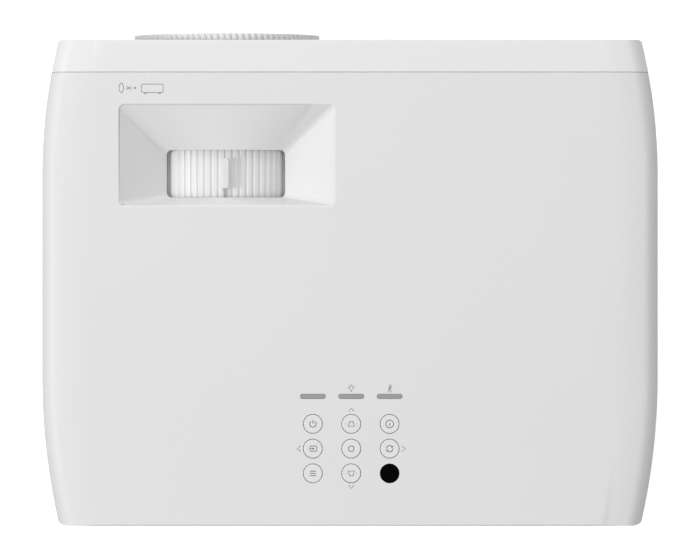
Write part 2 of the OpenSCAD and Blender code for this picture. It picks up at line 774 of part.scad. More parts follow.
// Seven blades round a hub, axis along Z, from 0 to h, on a pin of radius 1.5
module rotor(h) {
    tip = fan_size / 2 - 3.2;
    blade_t = 1;
    lean = (h / 2 - 0.5) * tan(38);
    difference() {
        union() {
            cylinder(r = 14, h = h);
            for (k = [0:6]) rotate([0, 0, k * 360 / 7]) stand_x(12.5, tip - 13.1)
                polygon([[-lean - blade_t, 0.5], [blade_t - lean, 0.5], [lean + blade_t, h - 0.5],
                    [lean - blade_t, h - 0.5]]);
        }
        translate([0, 0, -over]) cylinder(r = 1.5 + fit, h = h + 2 * over);
    }
}

module exhaust_fan_frame() {
    color("dimgray") translate([fan_x, 0, lens_z]) {
        stand_y(fan_y, fan_depth) fan_frame_outline();
        stand_y(fan_y + fan_depth - 2, 2) fan_spider();
        stand_y(fan_y + 2, fan_depth - 3) circle(1.5, $fn = 32);
    }
}
module exhaust_fan_rotor() {
    color("black") translate([fan_x, fan_y + 1, lens_z]) rotate([-90, 0, 0]) rotor(fan_depth - 4);
}
module intake_fan_frame() {
    color("dimgray") translate([0, intake_y, lens_z]) {
        stand_x(intake_x, fan_depth) fan_frame_outline();
        stand_x(intake_x, 2) fan_spider();
        stand_x(intake_x + 1, fan_depth - 3) circle(1.5, $fn = 32);
    }
}
module intake_fan_rotor() {
    color("black") translate([intake_x + 3, intake_y, lens_z]) rotate([0, 90, 0]) rotor(fan_depth - 4);
}

// ---- light source and imager ----

module engine_housing() {
    x1 = light_x + engine_w;
    z0 = lens_z - engine_h / 2;
    color("darkgray") difference() {
        box([light_x, engine_y[0], z0], [x1, engine_y[1], z0 + engine_h]);
        box([light_x + 3, engine_y[0] + 3, z0 + 3], [x1 - 3, engine_y[1] - 3, z0 + engine_h - 3]);
        translate([lens_x, 0, lens_z]) stand_y(engine_y[0] - over, 5) circle(20);
        translate([lens_x, 0, lens_z]) stand_y(engine_y[1] - 4, 6) square([24.4, 18.4], center = true);
        translate([0, rod_y, lens_z]) stand_x(light_x - over, 5) square([6.6, 5.6], center = true);
    }
}

module light_source_housing() {
    z0 = z_floor + 8;
    color("darkgray") difference() {
        box([light_x - 99, rod_y - 30, z0], [light_x, rod_y + 30, lens_z + 20]);
        box([light_x - 96, rod_y - 27, z0 + 3], [light_x - 3, rod_y + 27, lens_z + 17]);
        translate([0, rod_y, lens_z]) stand_x(light_x - 4, 5) square([6.6, 5.6], center = true);
        translate([0, rod_y, lens_z]) stand_x(light_x - 100, 5) circle(10);
    }
}

module light_rod() {
    color("lightblue", 0.6) translate([0, rod_y, lens_z])
        stand_x(light_x - 34, 44) square([6, 5], center = true);
}

module laser_module() {
    x = light_x - 99;
    color("steelblue") {
        box([x - 40, rod_y - 22, lens_z - 22], [x, rod_y + 22, lens_z + 22]);
        translate([0, rod_y, lens_z]) stand_x(x - over, 8) circle(9.7);
    }
}

module laser_heatsink() {
    x = light_x - 139;
    color("silver") {
        box([x - 5, rod_y - 34, lens_z - 32], [x, rod_y + 34, lens_z + 32]);
        for (k = [0:12]) translate([0, k * 5.5, 0])
            box([x - 24, rod_y - 34, lens_z - 32], [x - 4.9, rod_y - 32.2, lens_z + 32]);
    }
}

module wheel_motor() {
    x = wheel_x;
    color("dimgray") {
        box([x, rod_y - 14, z_floor + 11], [x + 3, rod_y + 14, wheel_z + 12]);
        translate([0, rod_y, wheel_z]) {
            stand_x(x + 2.9, 17) circle(11);
            stand_x(x + 19.8, 7) circle(1.5, $fn = 32);
        }
    }
}
module phosphor_wheel() {
    x = wheel_x;
    color("gold") translate([0, rod_y, wheel_z]) difference() {
        union() {
            stand_x(x + 23.6, 1.2) circle(22, $fn = 96);
            stand_x(x + 21, 4.4) circle(5);
        }
        stand_x(x + 20, 8) circle(1.5 + fit, $fn = 32);
    }
}

module imager_chip() {
    color("black") translate([lens_x, 0, lens_z])
        stand_y(engine_y[1] - 2, 4) square([24, 18], center = true);
}
module imager_board() {
    color("seagreen") translate([lens_x, 0, lens_z])
        stand_y(engine_y[1] + 2, board_t) square([70, 52], center = true);
}
module imager_heatsink() {
    y = engine_y[1] + 2 + board_t;
    color("silver") translate([lens_x, 0, lens_z]) {
        stand_y(y, 4) square([50, 40], center = true);
        for (k = [-4:4]) translate([k * 6, 0, 0]) stand_y(y + 3.9, 16) square([1.6, 40], center = true);
    }
}

// ---- lens ----

// The outline of the focus ring's teeth, open inside radius inner
module toothed_rim(inner) {
    tooth_r = PI * ring_r / ring_teeth * 1.02;
    difference() {
        union() {
            circle(ring_r - 1.6, $fn = 180);
            for (k = [0:ring_teeth - 1]) rotate(k * 360 / ring_teeth)
                translate([ring_r - tooth_r, 0]) circle(tooth_r, $fn = 24);
        }
        circle(inner, $fn = 180);
    }
}

// The teeth stand forward of the ring, so its front edge is scalloped
module focus_ring() {
    hub_y = y_ring + 12.5;
    tooth_lead = 1.3;
    front_y = y_ring + tooth_lead;
    color("white") {
        translate([lens_x, 0, lens_z]) {
            stand_y(y_ring, tooth_lead) toothed_rim(ring_r - 1);
            stand_y(front_y, ring_len - tooth_lead) toothed_rim(ring_r - 3.5);
        }
        turn_lens() polygon([[ring_r - 5.7, front_y + 0.6], [ring_r - 5.1, front_y],
            [ring_r - 2, front_y], [ring_r - 2, front_y + 2], [ring_r - 4.6, front_y + 2],
            [barrel_r + 2.5, hub_y + 1.5], [barrel_r + 2.5, hub_y + 14],
            [barrel_r + fit, hub_y + 14], [barrel_r + fit, hub_y + 3], [barrel_r - 1.5, hub_y + 3],
            [barrel_r - 1.5, hub_y]]);
    }
}

module lens_barrel() {
    y0 = y_ring + 15.8;
    y1 = y_mount - flange_t;
    color("dimgray") turn_lens() polygon([[barrel_r - barrel_wall, y0], [barrel_r, y0],
        [barrel_r, y1], [barrel_r + 7, y1], [barrel_r + 7, y_mount], [20, y_mount], [20, y1],
        [barrel_r - barrel_wall, y1]]);
}

module lens_cell(y, len, inner, lip) {
    turn_lens() polygon([[inner, y], [inner, y + 3], [lip, y + 3], [lip, y + len], [cell_r, y + len],
        [cell_r, y]]);
}

// A glass lens with one flat side at y, its dome bulging to the front by h
module dome_lens(y, edge, r, h) {
    ball = (r * r + h * h) / (2 * h);
    translate([lens_x, y, lens_z]) rotate([90, 0, 0]) intersection() {
        cylinder(r = r, h = edge + h + over, $fn = 96);
        translate([0, 0, edge + h - ball]) sphere(r = ball, $fn = 180);
    }
}

module front_lens_cell() color("dimgray") lens_cell(y_cell - 0.5, 26, 33, 31);
module front_lens() color("lightblue", 0.5) dome_lens(y_cell + 2.5, 2.4, 32.95, 4.4);
module zoom_lens_cell() color("dimgray") lens_cell(y_zoom, 22, 30, 28);
module zoom_lens() color("lightblue", 0.5) dome_lens(y_zoom + 3, 2.6, 29.95, 3.5);

module zoom_ring() {
    y0 = y_zoom_ring;
    hub_r = barrel_r + fit;
    color("white") {
        translate([lens_x, 0, lens_z]) {
            difference() {
                stand_y(y0, zoom_len) difference() {
                    circle(zoom_r, $fn = 180);
                    circle(zoom_r - 3.5, $fn = 180);
                    for (k = [0:zoom_ribs - 1]) rotate(90 + k * 360 / zoom_ribs)
                        translate([zoom_r + 0.2, 0]) circle(0.9, $fn = 24);
                }
                box([-1, y_window + (window_d + tab_len) / 2 - 2, zoom_r - 1.5],
                    [1, y_window + window_d + 1, zoom_r + 1]);
            }
            stand_y(y0 + zoom_len / 2 - 2, 4) difference() {
                circle(zoom_r - 3, $fn = 180);
                circle(hub_r, $fn = 180);
            }
            stand_y(y0 + 6, zoom_len - 12) difference() {
                circle(barrel_r + 2.5, $fn = 180);
                circle(hub_r, $fn = 180);
            }
        }
        translate([lens_x, y_window + window_d / 2, lens_z + zoom_r - 2]) linear_extrude(tab_h + 2)
            rotate(90) rounded(tab_len, tab_w, tab_w / 2 - 0.001);
    }
}

// ---- feet ----

module foot_screw(x, y) {
    color("whitesmoke") difference() {
        union() {
            post(x, y, foot_r, 2 + fit, z_floor - 0.5);
            for (a = [0:15:345]) translate([x, y, 0]) rotate([0, 0, a]) translate([foot_r - 0.5, 0, 0])
                post(0, 0, 1.2, 3, z_floor - 1.5);
            post(x, y, thread_r, z_floor - 1, z_floor + 22);
        }
        post(x, y, 3 + fit, 1, 5.2);
    }
}

module foot_pad(x, y) {
    color("dimgray") {
        post(x, y, foot_r - 0.5, 0, 2);
        post(x, y, 3, 1.9, 5);
    }
}
module front_foot_screw() foot_screw(0, front_foot_y);
module front_foot_pad() foot_pad(0, front_foot_y);
module rear_left_foot_screw() foot_screw(-foot_x, foot_y);
module rear_left_foot_pad() foot_pad(-foot_x, foot_y);
module rear_right_foot_screw() foot_screw(foot_x, foot_y);
module rear_right_foot_pad() foot_pad(foot_x, foot_y);

top_cover();
front_bezel();
bottom_cover();
rear_panel();
side_grille_left();
side_grille_right();
case_screws();
remote_window_top();
remote_window_front();
remote_receivers();
status_bars();
keypad_board();
key_switches();
for (n = [0:7]) key(n);
main_board();
power_board();
board_parts();
hdmi_sockets();
d_sub_sockets();
network_socket();
usb_socket();
audio_sockets();
power_inlet();
power_inlet_blades();
speaker_frame();
speaker_cone();
intake_fan_frame();
intake_fan_rotor();
exhaust_fan_frame();
exhaust_fan_rotor();
engine_housing();
light_source_housing();
laser_module();
laser_heatsink();
phosphor_wheel();
wheel_motor();
light_rod();
imager_chip();
imager_board();
imager_heatsink();
lens_barrel();
focus_ring();
front_lens_cell();
front_lens();
zoom_ring();
zoom_lens_cell();
zoom_lens();
front_foot_screw();
front_foot_pad();
rear_left_foot_screw();
rear_left_foot_pad();
rear_right_foot_screw();
rear_right_foot_pad();
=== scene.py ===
import json
import math

import bmesh
import bpy
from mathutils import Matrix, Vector

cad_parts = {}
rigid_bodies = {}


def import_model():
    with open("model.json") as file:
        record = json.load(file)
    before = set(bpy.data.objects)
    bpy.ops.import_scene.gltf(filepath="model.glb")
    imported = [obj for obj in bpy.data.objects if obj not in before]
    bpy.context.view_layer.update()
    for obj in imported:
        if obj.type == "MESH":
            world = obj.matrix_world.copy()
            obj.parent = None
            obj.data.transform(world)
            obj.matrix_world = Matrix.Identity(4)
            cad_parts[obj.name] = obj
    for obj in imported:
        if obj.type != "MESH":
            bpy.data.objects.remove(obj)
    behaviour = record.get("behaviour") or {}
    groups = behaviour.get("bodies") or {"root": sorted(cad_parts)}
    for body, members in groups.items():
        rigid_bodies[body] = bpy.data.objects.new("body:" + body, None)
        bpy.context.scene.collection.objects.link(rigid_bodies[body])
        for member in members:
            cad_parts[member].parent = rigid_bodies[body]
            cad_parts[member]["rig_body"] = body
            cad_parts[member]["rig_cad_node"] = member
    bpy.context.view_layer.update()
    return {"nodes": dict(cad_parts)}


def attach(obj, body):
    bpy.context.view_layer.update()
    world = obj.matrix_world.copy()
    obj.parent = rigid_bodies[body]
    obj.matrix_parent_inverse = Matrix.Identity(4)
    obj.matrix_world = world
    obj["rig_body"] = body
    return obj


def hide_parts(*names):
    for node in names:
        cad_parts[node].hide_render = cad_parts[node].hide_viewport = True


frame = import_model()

MM = 0.001

# ---- camera, studio and floor ----
# The picture is taken from straight above with a long lens, its upper edge towards the projector's
# front. The key lamp stands on the picture's left and a weak lamp in front, and the paper floor
# burns out to white.

CAMERA_HEIGHT = 4.09
CAMERA_LENS = 377.1
CAMERA_Y = 0.3 * MM
SKY_LOW, SKY_HIGH = 0.33, 0.79
FLOOR_SHEET, FLOOR_GLOW, FLOOR_BOUNCE = 0.8, 0.72, 0.15

bpy.ops.object.camera_add(location=(0, CAMERA_Y, CAMERA_HEIGHT), rotation=(0, 0, math.pi))
camera = bpy.context.active_object
camera.name = "photo_camera"
camera.data.lens = CAMERA_LENS
camera.data.clip_end = 60
bpy.context.scene.camera = camera
bpy.context.scene.view_settings.view_transform = "Standard"


def soft_lamp(name, place, size, power):
    """A square studio lamp that looks at the projector."""
    bpy.ops.object.light_add(type="AREA", location=place)
    lamp = bpy.context.active_object
    lamp.name = name
    lamp.rotation_euler = (-Vector(place)).to_track_quat("-Z", "Y").to_euler()
    lamp.data.size = size
    lamp.data.energy = power
    lamp.visible_camera = False


soft_lamp("key_lamp", (2.6, 0.15, 2.05), 0.55, 33)
soft_lamp("front_lamp", (0.3, -2, 1.25), 1, 13.5)

world = bpy.data.worlds.new("studio")
bpy.context.scene.world = world
world.use_nodes = True
world_nodes = world.node_tree.nodes
world_nodes.clear()
world_out = world_nodes.new("ShaderNodeOutputWorld")
studio_air = world_nodes.new("ShaderNodeBackground")
studio_air.inputs["Color"].default_value = (0.98, 0.98, 0.98, 1)
sky_way = world_nodes.new("ShaderNodeTexCoord")
sky_height = world_nodes.new("ShaderNodeSeparateXYZ")
sky_strength = world_nodes.new("ShaderNodeMapRange")
sky_strength.inputs["To Min"].default_value = SKY_LOW
sky_strength.inputs["To Max"].default_value = SKY_HIGH
backdrop = world_nodes.new("ShaderNodeBackground")
backdrop.inputs["Color"].default_value = (1, 1, 1, 1)
backdrop.inputs["Strength"].default_value = 1
world_mix = world_nodes.new("ShaderNodeMixShader")


def seen_rays(tree):
    """A factor that is 1 for rays that the camera, a mirror or a glass sends out."""
    path = tree.nodes.new("ShaderNodeLightPath")
    either = tree.nodes.new("ShaderNodeMath")
    either.operation = "ADD"
    any_ray = tree.nodes.new("ShaderNodeMath")
    any_ray.operation = "ADD"
    any_ray.use_clamp = True
    tree.links.new(path.outputs["Is Camera Ray"], either.inputs[0])
    tree.links.new(path.outputs["Is Glossy Ray"], either.inputs[1])
    tree.links.new(either.outputs[0], any_ray.inputs[0])
    tree.links.new(path.outputs["Is Transmission Ray"], any_ray.inputs[1])
    return any_ray.outputs[0]


world_link = world.node_tree.links.new
world_link(sky_way.outputs["Generated"], sky_height.inputs[0])
world_link(sky_height.outputs["Z"], sky_strength.inputs["Value"])
world_link(sky_strength.outputs[0], studio_air.inputs["Strength"])
world_link(seen_rays(world.node_tree), world_mix.inputs["Fac"])
world_link(studio_air.outputs[0], world_mix.inputs[1])
world_link(backdrop.outputs[0], world_mix.inputs[2])
world_link(world_mix.outputs[0], world_out.inputs["Surface"])

bpy.ops.mesh.primitive_plane_add(size=24, location=(0, 0, 0))
floor = bpy.context.active_object
floor.name = "paper_floor"
paper = bpy.data.materials.new("floor_paper")
paper.use_nodes = True
paper_nodes = paper.node_tree.nodes
paper_nodes.clear()
paper_out = paper_nodes.new("ShaderNodeOutputMaterial")
paper_dim = paper_nodes.new("ShaderNodeBsdfDiffuse")
paper_dim.inputs["Color"].default_value = (FLOOR_BOUNCE, FLOOR_BOUNCE, FLOOR_BOUNCE, 1)
paper_sheet = paper_nodes.new("ShaderNodeBsdfDiffuse")
paper_sheet.inputs["Color"].default_value = (FLOOR_SHEET, FLOOR_SHEET, FLOOR_SHEET, 1)
paper_glow = paper_nodes.new("ShaderNodeEmission")
paper_glow.inputs["Strength"].default_value = FLOOR_GLOW
paper_both = paper_nodes.new("ShaderNodeAddShader")
paper_mix = paper_nodes.new("ShaderNodeMixShader")
paper_link = paper.node_tree.links.new
paper_link(paper_sheet.outputs[0], paper_both.inputs[0])
paper_link(paper_glow.outputs[0], paper_both.inputs[1])
paper_link(seen_rays(paper.node_tree), paper_mix.inputs["Fac"])
paper_link(paper_dim.outputs[0], paper_mix.inputs[1])
paper_link(paper_both.outputs[0], paper_mix.inputs[2])
paper_side = paper_nodes.new("ShaderNodeNewGeometry")
paper_clear = paper_nodes.new("ShaderNodeBsdfTransparent")
paper_back = paper_nodes.new("ShaderNodeMixShader")
paper_link(paper_side.outputs["Backfacing"], paper_back.inputs["Fac"])
paper_link(paper_mix.outputs[0], paper_back.inputs[1])
paper_link(paper_clear.outputs[0], paper_back.inputs[2])
paper_link(paper_back.outputs[0], paper_out.inputs["Surface"])
floor.data.materials.append(paper)

# ---- top cover ----
# The big upper shell: white ABS out of a spark-textured mould, with the sloped recess round the
# zoom window, the key holes and four screw posts inside. It drops on the bottom cover.

TOP_LEVEL = 119
MID_LEVEL = 64
SEAM_TOP = -112.05
TONGUE, TONGUE_INSET = 0.3, 0.15
LIP_ROUND = 0.45
LENS_X, WINDOW_Y = 67.5, -57.45
RECESS_X, RECESS_Y = (8, 127), (-96, -38)
RECESS_LIP, LIP_X, LIP_Y = 1.1, 11, -43
STEP_LEVEL, STEP_X, STEP_Y = 118.5, (12, 125.1), (-94.8, -42)
STEP_SIDE, STEP_FRONT = 122, -91.7
STEP_GROOVE, GROOVE_DEPTH = 0.45, 0.5
KEY_X = (20.1, -0.7, -21.5)
KEY_Y = (78.25, 91.65, 105.05)
KEY_HOLE_R = 5.3
BAR_Y = 63.35


def build_fine_grain():
    """The fine texture that a mould, a saw or a casting leaves, with a slight drift in tone."""
    group = bpy.data.node_groups.new("fine_grain", "ShaderNodeTree")
    for socket, kind, value in (
        ("Colour", "NodeSocketColor", (0.8, 0.8, 0.8, 1)),
        ("Tone drift", "NodeSocketFloat", 0.02),
        ("Grain size", "NodeSocketFloat", 0.4),
        ("Draw", "NodeSocketVector", (1, 1, 1)),
        ("Roughness", "NodeSocketFloat", 0.5),
    ):
        group.interface.new_socket(socket, in_out="INPUT", socket_type=kind).default_value = value
    for socket, kind in (
        ("Colour", "NodeSocketColor"),
        ("Roughness", "NodeSocketFloat"),
        ("Height", "NodeSocketFloat"),
    ):
        group.interface.new_socket(socket, in_out="OUTPUT", socket_type=kind)
    nodes, link = group.nodes, group.links.new
    entry = nodes.new("NodeGroupInput")
    leave = nodes.new("NodeGroupOutput")
    place = nodes.new("ShaderNodeTexCoord")
    drawn = nodes.new("ShaderNodeVectorMath")
    drawn.operation = "MULTIPLY"
    pitch = nodes.new("ShaderNodeMath")
    pitch.operation = "DIVIDE"
    pitch.inputs[0].default_value = 1000
    pits = nodes.new("ShaderNodeTexNoise")
    pits.inputs["Detail"].default_value = 3
    pits.inputs["Roughness"].default_value = 0.6
    drift = nodes.new("ShaderNodeTexNoise")
    drift.inputs["Scale"].default_value = 9
    drift.inputs["Detail"].default_value = 2
    swing = nodes.new("ShaderNodeMath")
    swing.operation = "MULTIPLY_ADD"
    low = nodes.new("ShaderNodeMath")
    low.operation = "MULTIPLY_ADD"
    low.inputs[1].default_value = -0.5
    low.inputs[2].default_value = 1
    shade = nodes.new("ShaderNodeVectorMath")
    shade.operation = "SCALE"
    sheen = nodes.new("ShaderNodeMath")
    sheen.operation = "MULTIPLY_ADD"
    sheen.inputs[1].default_value = 0.12
    base_sheen = nodes.new("ShaderNodeMath")
    base_sheen.operation = "SUBTRACT"
    base_sheen.inputs[1].default_value = 0.06
    link(entry.outputs["Grain size"], pitch.inputs[1])
    link(place.outputs["Object"], drawn.inputs[0])
    link(entry.outputs["Draw"], drawn.inputs[1])
    link(drawn.outputs[0], pits.inputs["Vector"])
    link(place.outputs["Object"], drift.inputs["Vector"])
    link(pitch.outputs[0], pits.inputs["Scale"])
    link(entry.outputs["Tone drift"], low.inputs[0])
    link(drift.outputs["Fac"], swing.inputs[0])
    link(entry.outputs["Tone drift"], swing.inputs[1])
    link(low.outputs[0], swing.inputs[2])
    link(entry.outputs["Colour"], shade.inputs[0])
    link(swing.outputs[0], shade.inputs["Scale"])
    link(entry.outputs["Roughness"], base_sheen.inputs[0])
    link(pits.outputs["Fac"], sheen.inputs[0])
    link(base_sheen.outputs[0], sheen.inputs[2])
    link(shade.outputs[0], leave.inputs["Colour"])
    link(sheen.outputs[0], leave.inputs["Roughness"])
    link(pits.outputs["Fac"], leave.inputs["Height"])
    return group


fine_grain = build_fine_grain()


def grained(name, colour, roughness, size=0.45, depth=0.004, drift=0.02, draw=(1, 1, 1)):
    """A finish with its colour, how matt it is, and its grain's size, depth (mm) and draw."""
    material = bpy.data.materials.new(name)
    material.use_nodes = True
    nodes, link = material.node_tree.nodes, material.node_tree.links.new
    shader = nodes["Principled BSDF"]
    shader.inputs["IOR"].default_value = 1.5
    grain = nodes.new("ShaderNodeGroup")
    grain.node_tree = fine_grain
    grain.inputs["Colour"].default_value = (*colour, 1)
    grain.inputs["Tone drift"].default_value = drift
    grain.inputs["Grain size"].default_value = size
    grain.inputs["Draw"].default_value = draw
    grain.inputs["Roughness"].default_value = roughness
    bump = nodes.new("ShaderNodeBump")
    bump.inputs["Distance"].default_value = depth * MM
    bump.inputs["Strength"].default_value = 1
    link(grain.outputs["Colour"], shader.inputs["Base Color"])
    link(grain.outputs["Roughness"], shader.inputs["Roughness"])
    link(grain.outputs["Height"], bump.inputs["Height"])
    link(bump.outputs["Normal"], shader.inputs["Normal"])
    return material


def take(piece):
    """Selects one piece alone."""
    bpy.ops.object.select_all(action="DESELECT")
    piece.select_set(True)
    bpy.context.view_layer.objects.active = piece


def start_from(name, node):
    """Starts a piece from a copy of a CAD node's surface, welded and with its flat faces whole."""
    take(frame["nodes"][node])
    bpy.ops.object.duplicate()
    piece = bpy.context.active_object
    piece.parent = None
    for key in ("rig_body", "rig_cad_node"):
        del piece[key]
    piece.name = piece.data.name = name
    piece.data.materials.clear()
    bpy.ops.mesh.customdata_custom_splitnormals_clear()
    bpy.ops.object.mode_set(mode="EDIT")
    bpy.ops.mesh.select_all(action="SELECT")
    bpy.ops.mesh.remove_doubles(threshold=0.0005 * MM)
    bpy.ops.mesh.dissolve_degenerate(threshold=0.005 * MM)
    bpy.ops.mesh.dissolve_limited(angle_limit=math.radians(0.3))
    bpy.ops.object.mode_set(mode="OBJECT")
    return piece


def open_up(piece, kind):
    """Opens one piece in edit mode with nothing selected."""
    take(piece)
    bpy.ops.object.mode_set(mode="EDIT")
    bpy.ops.mesh.select_mode(type=kind)
    bpy.ops.mesh.select_all(action="DESELECT")
    return bmesh.from_edit_mesh(piece.data)


def pick_faces(piece, wanted):
    """Selects the faces whose middle, in mm, and normal suit, and stays in edit mode."""
    mesh = open_up(piece, "FACE")
    for face in mesh.faces:
        if wanted(face.calc_center_median() / MM, face.normal):
            face.select_set(True)
    bmesh.update_edit_mesh(piece.data)


def round_edges(piece, width, steps, wanted):
    """Rounds the edges whose two ends, in mm, and two faces' normals suit."""
    mesh = open_up(piece, "EDGE")
    for edge in mesh.edges:
        faces = edge.link_faces
        if len(faces) == 2 and wanted([v.co / MM for v in edge.verts], [f.normal for f in faces]):
            edge.select_set(True)
    bmesh.update_edit_mesh(piece.data)
    bpy.ops.mesh.bevel(offset=width * MM, segments=steps, profile=0.5)
    bpy.ops.object.mode_set(mode="OBJECT")


def drawn_out(way, wider=None):
    """Extrudes the selection by a way in mm, and scales it where wider is given."""
    bpy.ops.mesh.extrude_region_move(TRANSFORM_OT_translate={"value": Vector(way) * MM})
    if wider:
        bpy.ops.transform.resize(value=wider)


def smooth_off(piece, angle=32):
    """Smooth shading over the curves, with the flats kept flat."""
    take(piece)
    bpy.ops.object.shade_smooth_by_angle(angle=math.radians(angle))
    flats = piece.modifiers.new("flats", "WEIGHTED_NORMAL")
    flats.keep_sharp = True
    flats.weight = 80
    bpy.ops.object.modifier_apply(modifier=flats.name)


def mount(piece, material, body, slot, *nodes):
    """Settles a piece, gives it its material and body, and hides the nodes it stands for; the slot
    is not used.
    """
    take(piece)
    bpy.ops.object.transform_apply(location=True, rotation=True, scale=True)
    piece.data.materials.append(material)
    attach(piece, body)
    if nodes:
        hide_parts(*nodes)


def seam_rim(seam, side):
    """The outer edges of a moulding's rim in the plane of the seam."""
    def wanted(ends, normals):
        if any(abs(p.y - seam) > 0.05 for p in ends):
            return False
        outward = Vector((ends[0].x, 0, ends[0].z - MID_LEVEL)).normalized()
        return any(n.y * side > 0.95 for n in normals) and any(
            n.dot(outward) > 0.3 and abs(n.y) < 0.5 for n in normals)
    return wanted


def close_seam(piece, seam, side):
    """Rounds a rim's outer edge and lets a low tongue stand forward of it, into the seam."""
    round_edges(piece, LIP_ROUND, 2, seam_rim(seam, side))
    pick_faces(piece, lambda middle, normal: abs(middle.y - seam) < 0.05 and normal.y * side > 0.95)
    bpy.ops.mesh.inset(thickness=TONGUE_INSET * MM, use_boundary=True)
    drawn_out((0, TONGUE * side, 0))
    bpy.ops.object.mode_set(mode="OBJECT")


def within(point, x_span, y_span):
    """True for a point, in mm, between two values of x and two of y."""
    return x_span[0] < point.x < x_span[1] and y_span[0] < point.y < y_span[1]


def flat_and_slope(normals):
    """True where a level face meets a sloped one."""
    return any(n.z > 0.999 for n in normals) and any(0.2 < n.z < 0.97 for n in normals)


def hole_edge(centre, radius, level):
    """The upper edges of a round hole in the cover."""
    def wanted(ends, normals):
        return all(abs(math.hypot(p.x - centre[0], p.y - centre[1]) - radius) < 0.1
                   and abs(p.z - level) < 0.05 for p in ends) and any(n.z > 0.9 for n in normals)
    return wanted


cover_white = grained("cover_white", (0.79, 0.79, 0.79), 0.52)
top_cover = start_from("top_shell", "top_cover")
close_seam(top_cover, SEAM_TOP, -1)
# the soft lip of the recess, on its left and rear
round_edges(top_cover, RECESS_LIP, 3, lambda ends, normals: flat_and_slope(normals) and all(
    within(p, RECESS_X, RECESS_Y) and (p.x < LIP_X or p.y > LIP_Y) and p.z > TOP_LEVEL - 0.2
    for p in ends))
# a fine groove along the low step on its right and front
mesh = open_up(top_cover, "EDGE")
for edge in mesh.edges:
    ends = [v.co / MM for v in edge.verts]
    if all(within(p, STEP_X, STEP_Y) and STEP_LEVEL - 0.02 < p.z < TOP_LEVEL - 0.1
           and (p.x > STEP_SIDE or p.y < STEP_FRONT) for p in ends):
        edge.select_set(True)
bmesh.update_edit_mesh(top_cover.data)
bpy.ops.mesh.bevel(offset=STEP_GROOVE * MM, segments=2, profile=0.5)
bpy.ops.mesh.select_mode(type="VERT")
bpy.ops.mesh.select_less()
bpy.ops.transform.translate(value=(0, 0, -GROOVE_DEPTH * MM))
bpy.ops.object.mode_set(mode="OBJECT")
# the short sides of the zoom window, the key holes and the slots of the status bars
round_edges(top_cover, 0.2, 2, lambda ends, normals: all(
    abs(p.x - LENS_X) < 33 and abs(p.y - WINDOW_Y) < 13.5 and p.z > 90 for p in ends) and any(
    abs(p.x - LENS_X) > 31 for p in ends) and any(
    abs(n.z) < 0.05 for n in normals) and any(0.3 < n.z < 0.99 for n in normals))
for x in KEY_X:
    for y in KEY_Y:
        round_edges(top_cover, 0.3, 2, hole_edge((x, y), KEY_HOLE_R, TOP_LEVEL))
round_edges(top_cover, 0.2, 2, lambda ends, normals: all(
    abs(p.y - BAR_Y) < 1.6 and abs(p.x) < 30 and abs(p.z - TOP_LEVEL) < 0.05 for p in ends) and any(
    n.z > 0.9 for n in normals))
smooth_off(top_cover)
mount(top_cover, cover_white, "case", "case_white", "top_cover")

# ---- front bezel ----
# A brighter white moulding that closes the front, held by hooks behind the seam, with the round
# hole for the focus ring and the outlet slots.

SEAM_FRONT = -112.45
FRONT_FACE = -129.95
LENS_Z = 64
RING_HOLE_R = 51.7
FAN_X = -110
VENT_HALF_WIDTH, VENT_HALF_HEIGHT = 45, 31

bezel_white = grained("bezel_white", (0.845, 0.845, 0.85), 0.42)
bezel = start_from("front_shell", "front_bezel")
round_edges(bezel, LIP_ROUND, 2, seam_rim(SEAM_FRONT, 1))
round_edges(bezel, 0.4, 2, lambda ends, normals: all(
    abs(math.hypot(p.x - LENS_X, p.z - LENS_Z) - RING_HOLE_R) < 0.4 and p.y < FRONT_FACE + 0.95
    for p in ends) and any(n.y < -0.9 for n in normals))
round_edges(bezel, 0.3, 2, lambda ends, normals: all(
    abs(p.x - FAN_X) < VENT_HALF_WIDTH and abs(p.z - LENS_Z) < VENT_HALF_HEIGHT
    and p.y < FRONT_FACE + 0.05 for p in ends) and any(
    n.y < -0.9 for n in normals) and any(abs(n.y) < 0.1 for n in normals))
smooth_off(bezel)
mount(bezel, bezel_white, "case", "bezel_white", "front_bezel")

# ---- bottom cover ----
# The lower shell carries the boards, the optics and the feet, in the same plastic as the top. A
# brass insert is pressed into each of the four bosses that take a ceiling bracket's screws.

MOUNT_PLACES = ((100, -95), (-100, -95), (100, 75), (-100, 75))
FLOOR_LEVEL = 10
INSERT_R, INSERT_DEPTH, INSERT_WALL = 3.4, 9, 1.85
THREADS, THREAD_STEP, THREAD_DRAW = 12, 0.35, 0.93

bottom = start_from("bottom_shell", "bottom_cover")
close_seam(bottom, SEAM_TOP, -1)
smooth_off(bottom)
mount(bottom, cover_white, "case", "case_white", "bottom_cover")


def copy_to(piece, name, place):
    """A copy with its own mesh, moved there in mm."""
    take(piece)
    bpy.ops.object.duplicate()
    twin = bpy.context.active_object
    twin.name = twin.data.name = name
    twin.location = twin.location + Vector(place) * MM
    bpy.ops.object.transform_apply(location=True, rotation=True, scale=True)
    return twin


def one_piece(name, parts):
    """Joins parts into one piece."""
    bpy.ops.object.select_all(action="DESELECT")
    for part in parts:
        part.select_set(True)
    bpy.context.view_layer.objects.active = parts[0]
    bpy.ops.object.join()
    parts[0].name = parts[0].data.name = name
    return parts[0]


def scrap(piece):
    """Deletes the pattern that copies were taken from."""
    take(piece)
    bpy.ops.object.delete()


def metal(*finish):
    """A grained finish of bare metal."""
    material = grained(*finish)
    material.node_tree.nodes["Principled BSDF"].inputs["Metallic"].default_value = 1
    return material


